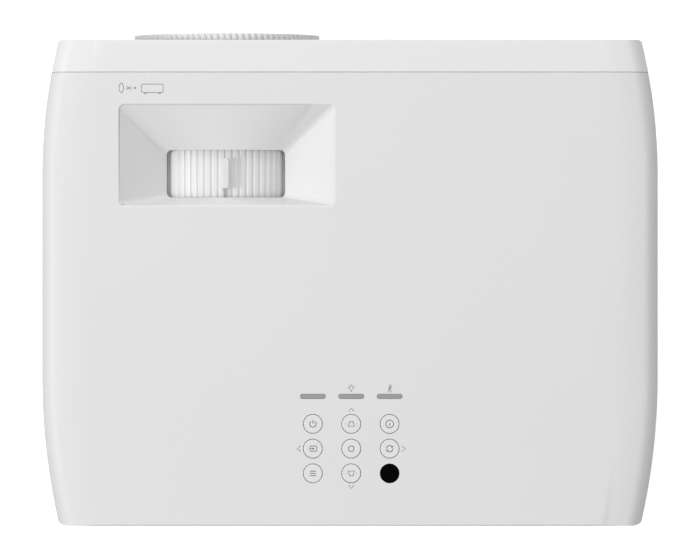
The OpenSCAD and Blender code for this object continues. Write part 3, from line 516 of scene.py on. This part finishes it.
brass = metal("brass", (0.72, 0.52, 0.22), 0.32, 0.3, 0.002, 0.1, (1, 1, 20))
bpy.ops.mesh.primitive_cylinder_add(vertices=48, radius=INSERT_R * MM, depth=0.5 * MM,
    location=(0, 0, (FLOOR_LEVEL - 0.2) * MM))
insert = bpy.context.active_object
pick_faces(insert, lambda middle, normal: normal.z > 0.9)
bpy.ops.transform.resize(value=(0.58, 0.58, 1))
bpy.ops.mesh.inset(thickness=0.07 * MM)
drawn_out((0, 0, INSERT_DEPTH))
bpy.ops.object.mode_set(mode="OBJECT")
pick_faces(insert, lambda middle, normal: normal.z < -0.9)
bpy.ops.mesh.inset(thickness=INSERT_WALL * MM)
for turn in range(THREADS):
    drawn_out((0, 0, THREAD_STEP), (THREAD_DRAW, THREAD_DRAW, 1))
    drawn_out((0, 0, THREAD_STEP), (1 / THREAD_DRAW, 1 / THREAD_DRAW, 1))
bpy.ops.object.mode_set(mode="OBJECT")
round_edges(insert, 0.12, 2, lambda ends, normals: any(n.z < -0.9 for n in normals))
inserts = one_piece("ceiling_inserts", [
    copy_to(insert, "insert", (x, y, 0)) for x, y in MOUNT_PLACES])
scrap(insert)
smooth_off(inserts)
mount(inserts, brass, "case", "screw_steel")

# ---- side grilles ----
# Separate slotted mouldings, clipped into the two sides over the fan and the speaker.

SIDE_FACE = 168.5

grille_white = grained("grille_white", (0.765, 0.765, 0.765), 0.5)
for side, node in (("left", "side_grille_left"), ("right", "side_grille_right")):
    grille = start_from(side + "_grille", node)
    round_edges(grille, 0.25, 2, lambda ends, normals: all(
        abs(p.x) > SIDE_FACE - 0.2 for p in ends) and any(
        abs(n.x) > 0.9 for n in normals) and any(abs(n.x) < 0.1 for n in normals))
    smooth_off(grille)
    mount(grille, grille_white, "case", "grille_white", node)

# ---- focus ring ----
# A ring of ninety teeth that stand a little forward of it, moulded in white and turned by hand.

ring_white = grained("ring_white", (0.79, 0.79, 0.79), 0.4, 0.3, 0.002)
focus_ring = start_from("focus_ring_rim", "focus_ring")
smooth_off(focus_ring)
mount(focus_ring, ring_white, "focus_ring", "ring_white", "focus_ring")

# ---- zoom ring ----
# The ribbed ring under the window, with the tab that a fingertip pushes and its pointer groove.

TAB_TOP = 115
ZOOM_R = 46

zoom_ring = start_from("zoom_ring_rim", "zoom_ring")
round_edges(zoom_ring, 0.5, 3, lambda ends, normals: all(abs(p.z - TAB_TOP) < 0.05 for p in ends)
            and any(n.z > 0.9 for n in normals))
round_edges(zoom_ring, 0.3, 2, lambda ends, normals: all(
    abs(math.hypot(p.x - LENS_X, p.z - LENS_Z) - ZOOM_R) < 0.1 for p in ends) and abs(
    ends[0].y - ends[1].y) > 2 and normals[0].angle(normals[1]) > 0.5)
smooth_off(zoom_ring)
mount(zoom_ring, ring_white, "zoom_ring", "ring_white", "zoom_ring")

# ---- keys ----
# Eight round caps, each on its own stem over a switch, with a skirt that keeps it in its hole. Each
# carries a pad-printed symbol.

KEY_R, CAP_HEIGHT, RIM_WIDTH, DISH = 5, 2.6, 0.9, 0.06
SKIRT_R, SKIRT_HEIGHT, STEM_LENGTH = 6.2, 1.9, 6.2
KEY_NAMES = ("power", "up", "info", "source", "enter", "resync", "menu", "down")

key_white = grained("key_white", (0.8, 0.8, 0.8), 0.45, 0.3, 0.002)
bpy.ops.mesh.primitive_cylinder_add(vertices=72, radius=KEY_R * MM, depth=CAP_HEIGHT * MM,
    location=(0, 0, (TOP_LEVEL - CAP_HEIGHT / 2) * MM))
blank_key = bpy.context.active_object
pick_faces(blank_key, lambda middle, normal: normal.z > 0.9)
bpy.ops.mesh.inset(thickness=RIM_WIDTH * MM)
bpy.ops.mesh.inset(thickness=2.2 * MM)
bpy.ops.transform.translate(value=(0, 0, -DISH * MM))
bpy.ops.object.mode_set(mode="OBJECT")
pick_faces(blank_key, lambda middle, normal: normal.z < -0.9)
drawn_out((0, 0, 0), (SKIRT_R / KEY_R, SKIRT_R / KEY_R, 1))
drawn_out((0, 0, -SKIRT_HEIGHT))
bpy.ops.mesh.inset(thickness=0.9 * MM)
drawn_out((0, 0, 1.2))
bpy.ops.mesh.inset(thickness=3.8 * MM)
drawn_out((0, 0, -STEM_LENGTH))
bpy.ops.object.mode_set(mode="OBJECT")
round_edges(blank_key, 0.3, 3, lambda ends, normals: all(
    abs(math.hypot(p.x, p.y) - KEY_R) < 0.1 and p.z > CAP_HEIGHT / 2 - 0.1 for p in ends))
ink_grey = grained("ink_grey", (0.15, 0.15, 0.16), 0.6, 0.2, 0.001, 0.15)


def symbol(name, body, centre, strokes, width=0.4):
    """Pad-printed lines, in mm right and up on the picture, as one flat piece on a body."""
    curve = bpy.data.curves.new(name, "CURVE")
    curve.dimensions = "3D"
    curve.bevel_depth = width / 2 * MM
    curve.bevel_resolution = 1
    curve.use_fill_caps = True
    for points, closed in strokes:
        line = curve.splines.new("POLY")
        line.points.add(len(points) - 1)
        for spot, (right, up) in zip(line.points, points):
            spot.co = ((centre[0] - right) * MM, (centre[1] - up) * MM, 0, 1)
        line.use_cyclic_u = closed
    mark = bpy.data.objects.new(name, curve)
    bpy.context.scene.collection.objects.link(mark)
    take(mark)
    bpy.ops.object.convert(target="MESH")
    mark = bpy.context.active_object
    bpy.ops.object.mode_set(mode="EDIT")
    bpy.ops.mesh.select_all(action="SELECT")
    bpy.ops.mesh.remove_doubles(threshold=0.001 * MM)
    bpy.ops.transform.resize(value=(1, 1, 0.3), center_override=(0, 0, 0))
    bpy.ops.transform.translate(value=(0, 0, TOP_LEVEL * MM))
    bpy.ops.mesh.normals_make_consistent(inside=False)
    bpy.ops.object.mode_set(mode="OBJECT")
    mount(mark, ink_grey, body, "bar_grey")


def bow(right, up, radius, start, end, steps=28, tall=1):
    """Points on an arc, in degrees from the right and upwards."""
    return [(right + radius * math.cos(math.radians(start + (end - start) * k / steps)),
             up + radius * tall * math.sin(math.radians(start + (end - start) * k / steps)))
            for k in range(steps + 1)]


fan_shape = [(-0.9, 1.25), (0.9, 1.25), (1.7, -1.25), (-1.7, -1.25)]
fan_dots = [([(-3, 0), (-2.7, 0)], False), ([(2.7, 0), (3, 0)], False)]
SYMBOLS = {
    "power": [(bow(0, 0, 1.72, 128, 412), False), ([(0, 2.1), (0, 0.2)], False)],
    "up": [(fan_shape, True)] + fan_dots,
    "info": [(bow(0, 0, 2.1, 0, 350), True), ([(0, 1.1), (0, 0.95)], False),
             ([(0, 0.4), (0, -1.1)], False)],
    "source": [([(-1.5, 0.7), (-1.5, 1.1), (-1.2, 1.4), (1.8, 1.4), (2.1, 1.1), (2.1, -1.1),
                 (1.8, -1.4), (-1.2, -1.4), (-1.5, -1.1), (-1.5, -0.7)], False),
               ([(-2.2, 0), (0.6, 0)], False), ([(0, 0.5), (0.6, 0), (0, -0.5)], False)],
    "enter": [(bow(0, 0, 1.5, 0, 350), True)],
    "resync": [(bow(0, 0, 1.7, 25, 180), False), (bow(0, 0, 1.7, 205, 360), False),
               ([(0.8, 0.95), (1.55, 0.7), (1.85, 1.4)], False),
               ([(-0.8, -0.95), (-1.55, -0.7), (-1.85, -1.4)], False)],
    "menu": [([(-1.55, v), (1.55, v)], False) for v in (1.2, 0, -1.2)],
    "down": [([(-u, -v) for u, v in fan_shape], True)] + fan_dots,
}
for n, name in enumerate(KEY_NAMES):
    place = (KEY_X[n % 3], KEY_Y[n // 3])
    key = copy_to(blank_key, name + "_cap", (*place, 0))
    smooth_off(key)
    mount(key, key_white, "key_" + name, "key_white", "key_" + name)
    symbol(name + "_symbol", "key_" + name, place, SYMBOLS[name])
scrap(blank_key)

# ---- printed signs on the cover ----
# Grey pad printing round the keys: four direction marks, a lamp and a thermometer over two of the
# status bars, and the sign in front of the zoom recess that says which way to look.

SIGN_Y = 58.8
SIGN_WIDTH = 0.36

chevron = [(-1.3, -0.9), (0, 0.9), (1.3, -0.9)]
for name, place, points in (
    ("sign_up", (KEY_X[1], 70.5), chevron),
    ("sign_down", (KEY_X[1], 112.4), [(u, -v) for u, v in chevron]),
    ("sign_left", (27.7, KEY_Y[1]), [(-v * 1.2, u * 1.15) for u, v in chevron]),
    ("sign_right", (-29.1, KEY_Y[1]), [(v * 1.2, u * 1.15) for u, v in chevron]),
):
    symbol(name, "case", place, [(points, False)], SIGN_WIDTH)
rays = [([(math.cos(math.radians(a)) * 1.5, math.sin(math.radians(a)) * 1.5),
          (math.cos(math.radians(a)) * 2.1, math.sin(math.radians(a)) * 2.1)], False)
        for a in (0, 45, 90, 135, 180)]
symbol("sign_lamp", "case", (KEY_X[1], SIGN_Y), rays + [
    (bow(0, 0, 1.05, -50, 230), False), ([(-0.6, -1.2), (0.6, -1.2)], False),
    ([(-0.45, -1.8), (0.45, -1.8)], False)], 0.3)
symbol("sign_heat", "case", (KEY_X[2], SIGN_Y), [
    (bow(0, -1.4, 0.8, 115, 425), False),
    ([(-0.35, -0.7), (-0.35, 1.6), (0, 1.95), (0.35, 1.6), (0.35, -0.7)], False),
    ([(0, -1.4), (0, 0.6)], False)] + [
    ([(0.8, v), (1.3, v)], False) for v in (1.6, 0.9, 0.2)], 0.28)
symbol("sign_focus", "case", (112.9, -103.5), [
    (bow(-8.6, 0.3, 3.6, 130, 230), False), (bow(-14.6, 0.3, 4.8, -35, 35), False),
    ([(-8.3, 1.15), (-5.7, -0.75)], False), ([(-8.3, -0.75), (-5.7, 1.15)], False),
    ([(-4.9, 0.2), (-3, 0.2)], False), ([(-3.7, 0.8), (-3, 0.2), (-3.7, -0.4)], False),
    ([(0.7, 2.3), (11, 2.3), (11.7, 1.8), (11.7, -1.7), (11, -2.3), (0.7, -2.3), (0, -1.7),
      (0, 1.8)], True),
    ([(1.2, -2.4), (2, -3), (2.8, -2.4)], False),
    ([(9, -2.4), (9.8, -3), (10.6, -2.4)], False)], 0.34)

# ---- status bars ----
# Three bars of smoked acrylic that carry the light of the board's lamps up to the cover. Each is a
# lens with rounded ends on a thinner leg.

BAR_LENGTH, BAR_WIDTH, BAR_HEIGHT, LEG_LENGTH = 13.7, 2.5, 3, 10


def fresh():
    """The shape that was just added, with its place in its mesh."""
    piece = bpy.context.active_object
    bpy.ops.object.transform_apply(location=True, rotation=True, scale=True)
    return piece


bar_grey = grained("bar_grey", (0.34, 0.335, 0.355), 0.3, 0.2, 0.001)
bpy.ops.mesh.primitive_cube_add(size=1, location=(0, BAR_Y * MM, (TOP_LEVEL - BAR_HEIGHT / 2) * MM),
    scale=(BAR_LENGTH * MM, BAR_WIDTH * MM, BAR_HEIGHT * MM))
blank_bar = fresh()
round_edges(blank_bar, BAR_WIDTH / 2 - 0.01, 10,
            lambda ends, normals: abs(ends[0].z - ends[1].z) > 2)
round_edges(blank_bar, 0.25, 3, lambda ends, normals: all(
    p.z > TOP_LEVEL - 0.05 for p in ends) and any(abs(n.z) < 0.1 for n in normals))
pick_faces(blank_bar, lambda middle, normal: normal.z < -0.9)
bpy.ops.mesh.inset(thickness=0.5 * MM)
drawn_out((0, 0, -LEG_LENGTH))
bpy.ops.object.mode_set(mode="OBJECT")
bars = one_piece("status_lenses", [copy_to(blank_bar, "bar", (x, 0, 0)) for x in KEY_X])
scrap(blank_bar)
smooth_off(bars)
mount(bars, bar_grey, "case", "bar_grey", "status_bars")

# ---- remote control windows ----
# Two lenses of infrared acrylic that look black, one flush in the cover and one in the front.

EYE_R, EYE_DEPTH, FLANGE_R, FLANGE_DEPTH = 5.2, 2.5, 6.5, 1.2

window_black = grained("window_black", (0.001, 0.001, 0.0012), 0.25, 2, 0.0005, 0)
window_black.node_tree.nodes["Principled BSDF"].inputs["Specular IOR Level"].default_value = 0.02
bpy.ops.mesh.primitive_cylinder_add(vertices=72, radius=EYE_R * MM, depth=EYE_DEPTH * MM,
    location=(KEY_X[2] * MM, KEY_Y[2] * MM, (TOP_LEVEL - EYE_DEPTH / 2) * MM))
eye = fresh()
eye.name = "remote_eye_top"
pick_faces(eye, lambda middle, normal: normal.z < -0.9)
drawn_out((0, 0, 0), (FLANGE_R / EYE_R, FLANGE_R / EYE_R, 1))
drawn_out((0, 0, -FLANGE_DEPTH))
bpy.ops.mesh.inset(thickness=1.5 * MM)
drawn_out((0, 0, 1.6))
bpy.ops.object.mode_set(mode="OBJECT")
round_edges(eye, 0.5, 4, lambda ends, normals: all(p.z > TOP_LEVEL - 0.05 for p in ends))
smooth_off(eye)
mount(eye, window_black, "case", "window_black", "remote_window_top")
front_eye = start_from("remote_eye_front", "remote_window_front")
round_edges(front_eye, 0.5, 4, lambda ends, normals: all(
    p.y < FRONT_FACE + 0.05 for p in ends) and any(n.y < -0.9 for n in normals))
smooth_off(front_eye)
mount(front_eye, window_black, "case", "window_black", "remote_window_front")


def coat(material, *nodes):
    """Gives CAD nodes a material, in place of the plain one that they come with."""
    for node in nodes:
        mesh = frame["nodes"][node].data
        mesh.materials.clear()
        mesh.materials.append(material)


inner_black = grained("inner_black", (0.022, 0.022, 0.024), 0.5, 0.35, 0.004, 0.2)
coat(inner_black, "remote_receivers")

# ---- lens ----
# Coated glass in black anodised cells. The front group slides with the focus ring, and the rear
# group with the zoom ring.

lens_black = grained("lens_black", (0.012, 0.012, 0.013), 0.38, 0.9, 0.02, 0.1, (1, 8, 1))
coat(lens_black, "lens_barrel", "front_lens_cell", "zoom_lens_cell")
coated_glass = bpy.data.materials.new("coated_glass")
coated_glass.use_nodes = True
glass_nodes = coated_glass.node_tree.nodes
glass_link = coated_glass.node_tree.links.new
glass = glass_nodes["Principled BSDF"]
glass.inputs["Transmission Weight"].default_value = 1
glass.inputs["IOR"].default_value = 1.52
glass_edge = glass_nodes.new("ShaderNodeLayerWeight")
glass_edge.inputs["Blend"].default_value = 0.35
glass_tint = glass_nodes.new("ShaderNodeValToRGB")
glass_tint.color_ramp.elements[0].color = (0.93, 0.97, 1, 1)
glass_tint.color_ramp.elements[1].color = (0.45, 0.3, 0.75, 1)
glass_dust = glass_nodes.new("ShaderNodeTexNoise")
glass_dust.inputs["Scale"].default_value = 400
glass_haze = glass_nodes.new("ShaderNodeMapRange")
glass_haze.inputs["To Min"].default_value = 0
glass_haze.inputs["To Max"].default_value = 0.04
glass_place = glass_nodes.new("ShaderNodeTexCoord")
glass_link(glass_place.outputs["Object"], glass_dust.inputs["Vector"])
glass_link(glass_dust.outputs["Fac"], glass_haze.inputs["Value"])
glass_link(glass_haze.outputs[0], glass.inputs["Roughness"])
glass_link(glass_edge.outputs["Facing"], glass_tint.inputs["Fac"])
glass_link(glass_tint.outputs["Color"], glass.inputs["Base Color"])
coat(coated_glass, "front_lens", "zoom_lens", "light_rod")

# ---- rear panel and sockets ----
# A grey plate screwed inside the rear opening, with the sockets of the main board behind it. The
# sockets get their contacts, inserts and rings.

PANEL_FACE = 127.05
PANEL_HALF_WIDTH = 145
SOCKET_FLOOR = 25.6
D_SUB_X = (-36, 2, -74)
D_SUB_Z = SOCKET_FLOOR + 6.3
D_SUB_FACE = (15.2, 0.4, 6.6)
CONTACT_R = 0.5
NETWORK_X, SPRING_PITCH = 32, 1.02
HDMI_X, USB_X, STRIP_RISE = (56, 77), 97, 2.76
AUDIO_RINGS = (
    ("audio_in_ring", 113, (0.1, 0.28, 0.6)),
    ("audio_out_ring", 125, (0.25, 0.55, 0.12)),
)
AUDIO_R, AUDIO_WALL = 3.3, 1.5

panel_grey = grained("panel_grey", (0.5, 0.51, 0.52), 0.55)
panel = start_from("rear_plate", "rear_panel")
round_edges(panel, 0.25, 2, lambda ends, normals: all(
    abs(p.y - PANEL_FACE) < 0.05 for p in ends) and any(n.y > 0.95 for n in normals) and any(
    abs(n.y) < 0.1 for n in normals) and all(abs(p.x) < PANEL_HALF_WIDTH for p in ends))
smooth_off(panel)
mount(panel, panel_grey, "case", "panel_grey", "rear_panel")

nickel = metal("nickel", (0.66, 0.65, 0.62), 0.3, 0.4, 0.001, 0.08, (6, 1, 6))
coat(nickel, "d_sub_sockets", "hdmi_sockets", "usb_socket", "key_switches", "power_inlet_blades")
coat(inner_black, "network_socket", "audio_sockets", "power_inlet")
gold = metal("gold", (0.86, 0.62, 0.26), 0.28, 0.3, 0.001, 0.06)

insert_blue = grained("insert_blue", (0.02, 0.05, 0.3), 0.45, 0.3, 0.002, 0.1)
bpy.ops.mesh.primitive_cube_add(size=1, location=(0, (PANEL_FACE + 5.1) * MM, D_SUB_Z * MM),
    scale=Vector(D_SUB_FACE) * MM)
blank_insert = fresh()
pick_faces(blank_insert, lambda middle, normal: normal.z < -0.9)
bpy.ops.transform.resize(value=(0.86, 1, 1))
bpy.ops.object.mode_set(mode="OBJECT")
round_edges(blank_insert, 1.6, 5, lambda ends, normals: abs(ends[0].y - ends[1].y) > 0.3)
pick_faces(blank_insert, lambda middle, normal: normal.y > 0.9)
bpy.ops.mesh.inset(thickness=0.4 * MM)
drawn_out((0, 0.25, 0))
bpy.ops.object.mode_set(mode="OBJECT")
insert_faces = one_piece("d_sub_inserts", [
    copy_to(blank_insert, "face", (x, 0, 0)) for x in D_SUB_X])
scrap(blank_insert)
smooth_off(insert_faces)
mount(insert_faces, insert_blue, "case", "inner_black")

bpy.ops.mesh.primitive_cylinder_add(vertices=16, radius=CONTACT_R * MM, depth=0.3 * MM,
    location=(0, (PANEL_FACE + 5.6) * MM, D_SUB_Z * MM), rotation=(math.pi / 2, 0, 0))
blank_contact = fresh()
pick_faces(blank_contact, lambda middle, normal: normal.y > 0.9)
bpy.ops.mesh.inset(thickness=0.18 * MM)
drawn_out((0, -0.22, 0))
bpy.ops.object.mode_set(mode="OBJECT")
contact_places = [(x + (k - 2) * 2.3 + row * 0.55, 0, row * 1.75)
                  for x in D_SUB_X[1:] for row in (-1, 0, 1) for k in range(5)]
contact_places += [(D_SUB_X[0] + (k - (count - 1) / 2) * 2.4, 0, row * 2.6 - 1.3)
                   for row, count in ((0, 4), (1, 5)) for k in range(count)]
contacts = one_piece("d_sub_contacts", [
    copy_to(blank_contact, "contact", place) for place in contact_places])
scrap(blank_contact)
smooth_off(contacts)
mount(contacts, gold, "case", "blade_metal")

bpy.ops.mesh.primitive_cube_add(size=1, scale=(0.5 * MM, 5 * MM, 0.25 * MM),
    location=(0, (PANEL_FACE - 3) * MM, (SOCKET_FLOOR + 8.6) * MM))
blank_spring = fresh()
pick_faces(blank_spring, lambda middle, normal: normal.y > 0.9)
drawn_out((0, 0.7, 0.35))
drawn_out((0, 0.3, 0.5), (1, 1, 0.7))
bpy.ops.object.mode_set(mode="OBJECT")
pick_faces(blank_spring, lambda middle, normal: normal.y < -0.9)
drawn_out((0, -2.5, -2.2))
bpy.ops.object.mode_set(mode="OBJECT")
springs = one_piece("network_contacts", [
    copy_to(blank_spring, "spring", (NETWORK_X + (k - 3.5) * SPRING_PITCH, 0, 0))
    for k in range(8)])
scrap(blank_spring)
smooth_off(springs)
mount(springs, gold, "case", "blade_metal")

bpy.ops.mesh.primitive_cube_add(size=1, location=(0, (PANEL_FACE - 3.2) * MM, 0),
    scale=(0.6 * MM, 4.6 * MM, 0.12 * MM))
blank_strip = fresh()
pick_faces(blank_strip, lambda middle, normal: normal.y > 0.9)
drawn_out((0, 0.4, 0), (0.5, 1, 0.6))
bpy.ops.object.mode_set(mode="OBJECT")
strip_places = [(x + (k - 4.5) * 1.05, -0.9, SOCKET_FLOOR + STRIP_RISE)
                for x in HDMI_X for k in range(10)]
strip_places += [(USB_X + (k - 1.5) * 2.4, -0.9, SOCKET_FLOOR + STRIP_RISE + 1.2) for k in range(4)]
strips = one_piece("plug_contacts", [
    copy_to(blank_strip, "strip", place) for place in strip_places])
scrap(blank_strip)
smooth_off(strips)
mount(strips, gold, "case", "blade_metal")

for name, x, colour in AUDIO_RINGS:
    ring_finish = grained(name + "_finish", colour, 0.4, 0.3, 0.001, 0.08)
    bpy.ops.mesh.primitive_cylinder_add(vertices=48, radius=AUDIO_R * MM, depth=0.4 * MM,
        location=(x * MM, (PANEL_FACE + 0.6) * MM, (SOCKET_FLOOR + 5) * MM),
        rotation=(math.pi / 2, 0, 0))
    ring = fresh()
    ring.name = name
    pick_faces(ring, lambda middle, normal: abs(normal.y) > 0.9)
    bpy.ops.mesh.inset(thickness=AUDIO_WALL * MM)
    bpy.ops.mesh.bridge_edge_loops()
    bpy.ops.object.mode_set(mode="OBJECT")
    round_edges(ring, 0.12, 2, lambda ends, normals: all(p.y > PANEL_FACE + 0.75 for p in ends)
                and any(abs(n.y) < 0.1 for n in normals))
    smooth_off(ring)
    mount(ring, ring_finish, "case", "bar_grey")

# ---- case screws ----
# Four self-tapping screws, driven up from below through the bottom cover into the top one's posts.

SCREW_PLACES = ((152, -91.95), (-152, -91.95), (141, 83.55), (-141, 83.55))
HEAD_LEVEL = 17.4
HEAD_R, HEAD_HEIGHT = 2.95, 2.5
TURNS, HALF_PITCH, CREST = 20, 0.5, 1.04

screw_steel = metal("screw_steel", (0.4, 0.4, 0.41), 0.34, 0.3, 0.002, 0.1)
bpy.ops.mesh.primitive_cylinder_add(vertices=40, radius=HEAD_R * MM, depth=HEAD_HEIGHT * MM,
    location=(0, 0, (HEAD_LEVEL + HEAD_HEIGHT / 2) * MM))
blank_screw = fresh()
pick_faces(blank_screw, lambda middle, normal: normal.z > 0.9)
bpy.ops.mesh.inset(thickness=1.5 * MM)
for turn in range(TURNS):
    drawn_out((0, 0, HALF_PITCH), (CREST, CREST, 1))
    drawn_out((0, 0, HALF_PITCH), (1 / CREST, 1 / CREST, 1))
drawn_out((0, 0, 1.6), (0.2, 0.2, 1))
bpy.ops.object.mode_set(mode="OBJECT")
round_edges(blank_screw, 0.7, 4, lambda ends, normals: all(p.z < HEAD_LEVEL + 0.05 for p in ends))
for angle in (0, math.pi / 2):
    bpy.ops.mesh.primitive_cube_add(
        size=1, location=(0, 0, HEAD_LEVEL * MM), rotation=(0, 0, angle))
    blade = bpy.context.active_object
    blade.scale = (0.9 * MM, 3.4 * MM, 2.8 * MM)
    cross = blank_screw.modifiers.new("cross", "BOOLEAN")
    cross.operation = "DIFFERENCE"
    cross.object = blade
    take(blank_screw)
    bpy.ops.object.modifier_apply(modifier=cross.name)
    scrap(blade)
screws = one_piece("cover_screws", [copy_to(blank_screw, "screw", (*p, 0)) for p in SCREW_PLACES])
scrap(blank_screw)
smooth_off(screws)
mount(screws, screw_steel, "case", "screw_steel", "case_screws")

# ---- feet ----
# Three fluted foot screws that level the projector, each on a ribbed rubber pad.

FEET = {"front": (0, -94.95), "rear_left": (-140.5, 109.55), "rear_right": (140.5, 109.55)}
PAD_R, PAD_HEIGHT, PEG_R, PEG_HEIGHT = 12.5, 2, 3, 3
GROOVES, GROOVE_CUT = 4, 0.5

rubber = grained("pad_rubber", (0.03, 0.03, 0.031), 0.75, 0.5, 0.02, 0.25)
bpy.ops.mesh.primitive_cylinder_add(vertices=96, radius=PAD_R * MM, depth=PAD_HEIGHT * MM,
    location=(0, 0, PAD_HEIGHT / 2 * MM))
blank_pad = fresh()
pick_faces(blank_pad, lambda middle, normal: normal.z < -0.9)
for groove in range(GROOVES):
    bpy.ops.mesh.inset(thickness=1.5 * MM)
    drawn_out((0, 0, GROOVE_CUT))
    bpy.ops.mesh.inset(thickness=0.8 * MM)
    drawn_out((0, 0, -GROOVE_CUT))
bpy.ops.object.mode_set(mode="OBJECT")
round_edges(blank_pad, 0.4, 3, lambda ends, normals: all(
    math.hypot(p.x, p.y) > PAD_R - 0.1 for p in ends) and any(abs(n.z) > 0.9 for n in normals))
pick_faces(blank_pad, lambda middle, normal: normal.z > 0.9)
bpy.ops.mesh.inset(thickness=(PAD_R - 0.4 - PEG_R) * MM)
drawn_out((0, 0, PEG_HEIGHT))
bpy.ops.object.mode_set(mode="OBJECT")
for name, place in FEET.items():
    pad = copy_to(blank_pad, name + "_grip", (*place, 0))
    smooth_off(pad)
    mount(pad, rubber, name + "_pad", "pad_rubber", name + "_foot_pad")
    screw = start_from(name + "_leg", name + "_foot_screw")
    smooth_off(screw)
    mount(screw, cover_white, name + "_screw", "case_white", name + "_foot_screw")
scrap(blank_pad)

# ---- circuit boards ----
# Green glass-fibre boards with their copper tracks under the lacquer, and the parts on them.


def build_tracks():
    """Where tracks and pads run on a board: a mask of tracks and one of tinned pads."""
    group = bpy.data.node_groups.new("board_tracks", "ShaderNodeTree")
    for socket in ("Tracks", "Pads"):
        group.interface.new_socket(socket, in_out="OUTPUT", socket_type="NodeSocketFloat")
    nodes, link = group.nodes, group.links.new
    leave = nodes.new("NodeGroupOutput")
    place = nodes.new("ShaderNodeTexCoord")
    for socket, scale, feature, limit in (
        ("Tracks", 260, "DISTANCE_TO_EDGE", 0.055),
        ("Pads", 210, "F1", 0.16),
    ):
        cells = nodes.new("ShaderNodeTexVoronoi")
        cells.feature = feature
        cells.inputs["Scale"].default_value = scale
        edge = nodes.new("ShaderNodeMath")
        edge.operation = "LESS_THAN"
        edge.inputs[1].default_value = limit
        link(place.outputs["Object"], cells.inputs["Vector"])
        link(cells.outputs["Distance"], edge.inputs[0])
        link(edge.outputs[0], leave.inputs[socket])
    return group


board_green = bpy.data.materials.new("board_green")
board_green.use_nodes = True
board_nodes = board_green.node_tree.nodes
board_link = board_green.node_tree.links.new
tracks = board_nodes.new("ShaderNodeGroup")
tracks.node_tree = build_tracks()
track_mix = board_nodes.new("ShaderNodeMix")
track_mix.data_type = "RGBA"
track_mix.inputs["A"].default_value = (0.008, 0.07, 0.03, 1)
track_mix.inputs["B"].default_value = (0.02, 0.16, 0.06, 1)
pad_mix = board_nodes.new("ShaderNodeMix")
pad_mix.data_type = "RGBA"
pad_mix.inputs["B"].default_value = (0.55, 0.5, 0.4, 1)
track_bump = board_nodes.new("ShaderNodeBump")
track_bump.inputs["Distance"].default_value = 0.03 * MM
board_shader = board_nodes["Principled BSDF"]
board_shader.inputs["Roughness"].default_value = 0.35
board_link(tracks.outputs["Tracks"], track_mix.inputs["Factor"])
board_link(track_mix.outputs["Result"], pad_mix.inputs["A"])
board_link(tracks.outputs["Pads"], pad_mix.inputs["Factor"])
board_link(pad_mix.outputs["Result"], board_shader.inputs["Base Color"])
board_link(tracks.outputs["Tracks"], track_bump.inputs["Height"])
board_link(track_bump.outputs["Normal"], board_shader.inputs["Normal"])
coat(board_green, "keypad_board", "main_board", "power_board", "imager_board")
coat(inner_black, "board_parts", "imager_chip")

# ---- fans, speaker and light engine ----
# Black glass-filled fans, a paper-coned speaker, and the cast housings, finned sinks, phosphor
# wheel and motor of the laser light engine.

fan_black = grained("fan_black", (0.028, 0.028, 0.03), 0.42, 0.6, 0.006, 0.15)
coat(fan_black, "intake_fan_frame", "exhaust_fan_frame", "intake_fan_rotor", "exhaust_fan_rotor")
speaker_black = grained("speaker_black", (0.03, 0.03, 0.032), 0.5, 0.25, 0.003, 0.1)
coat(speaker_black, "speaker_frame")
cone_paper = grained("cone_paper", (0.07, 0.065, 0.06), 0.85, 1.2, 0.05, 0.4, (1, 3, 1))
coat(cone_paper, "speaker_cone")
cast_alloy = metal("cast_alloy", (0.42, 0.42, 0.43), 0.55, 1.6, 0.05, 0.12)
coat(cast_alloy, "engine_housing", "light_source_housing", "laser_module")
drawn_alloy = metal("drawn_alloy", (0.55, 0.55, 0.56), 0.36, 0.5, 0.006, 0.06, (1, 1, 0.04))
coat(drawn_alloy, "laser_heatsink", "imager_heatsink")
phosphor = grained("phosphor", (0.75, 0.62, 0.08), 0.7, 0.5, 0.01, 0.1)
coat(phosphor, "phosphor_wheel")
motor_black = grained("motor_black", (0.05, 0.05, 0.055), 0.35, 0.3, 0.002, 0.1, (30, 1, 1))
coat(motor_black, "wheel_motor")
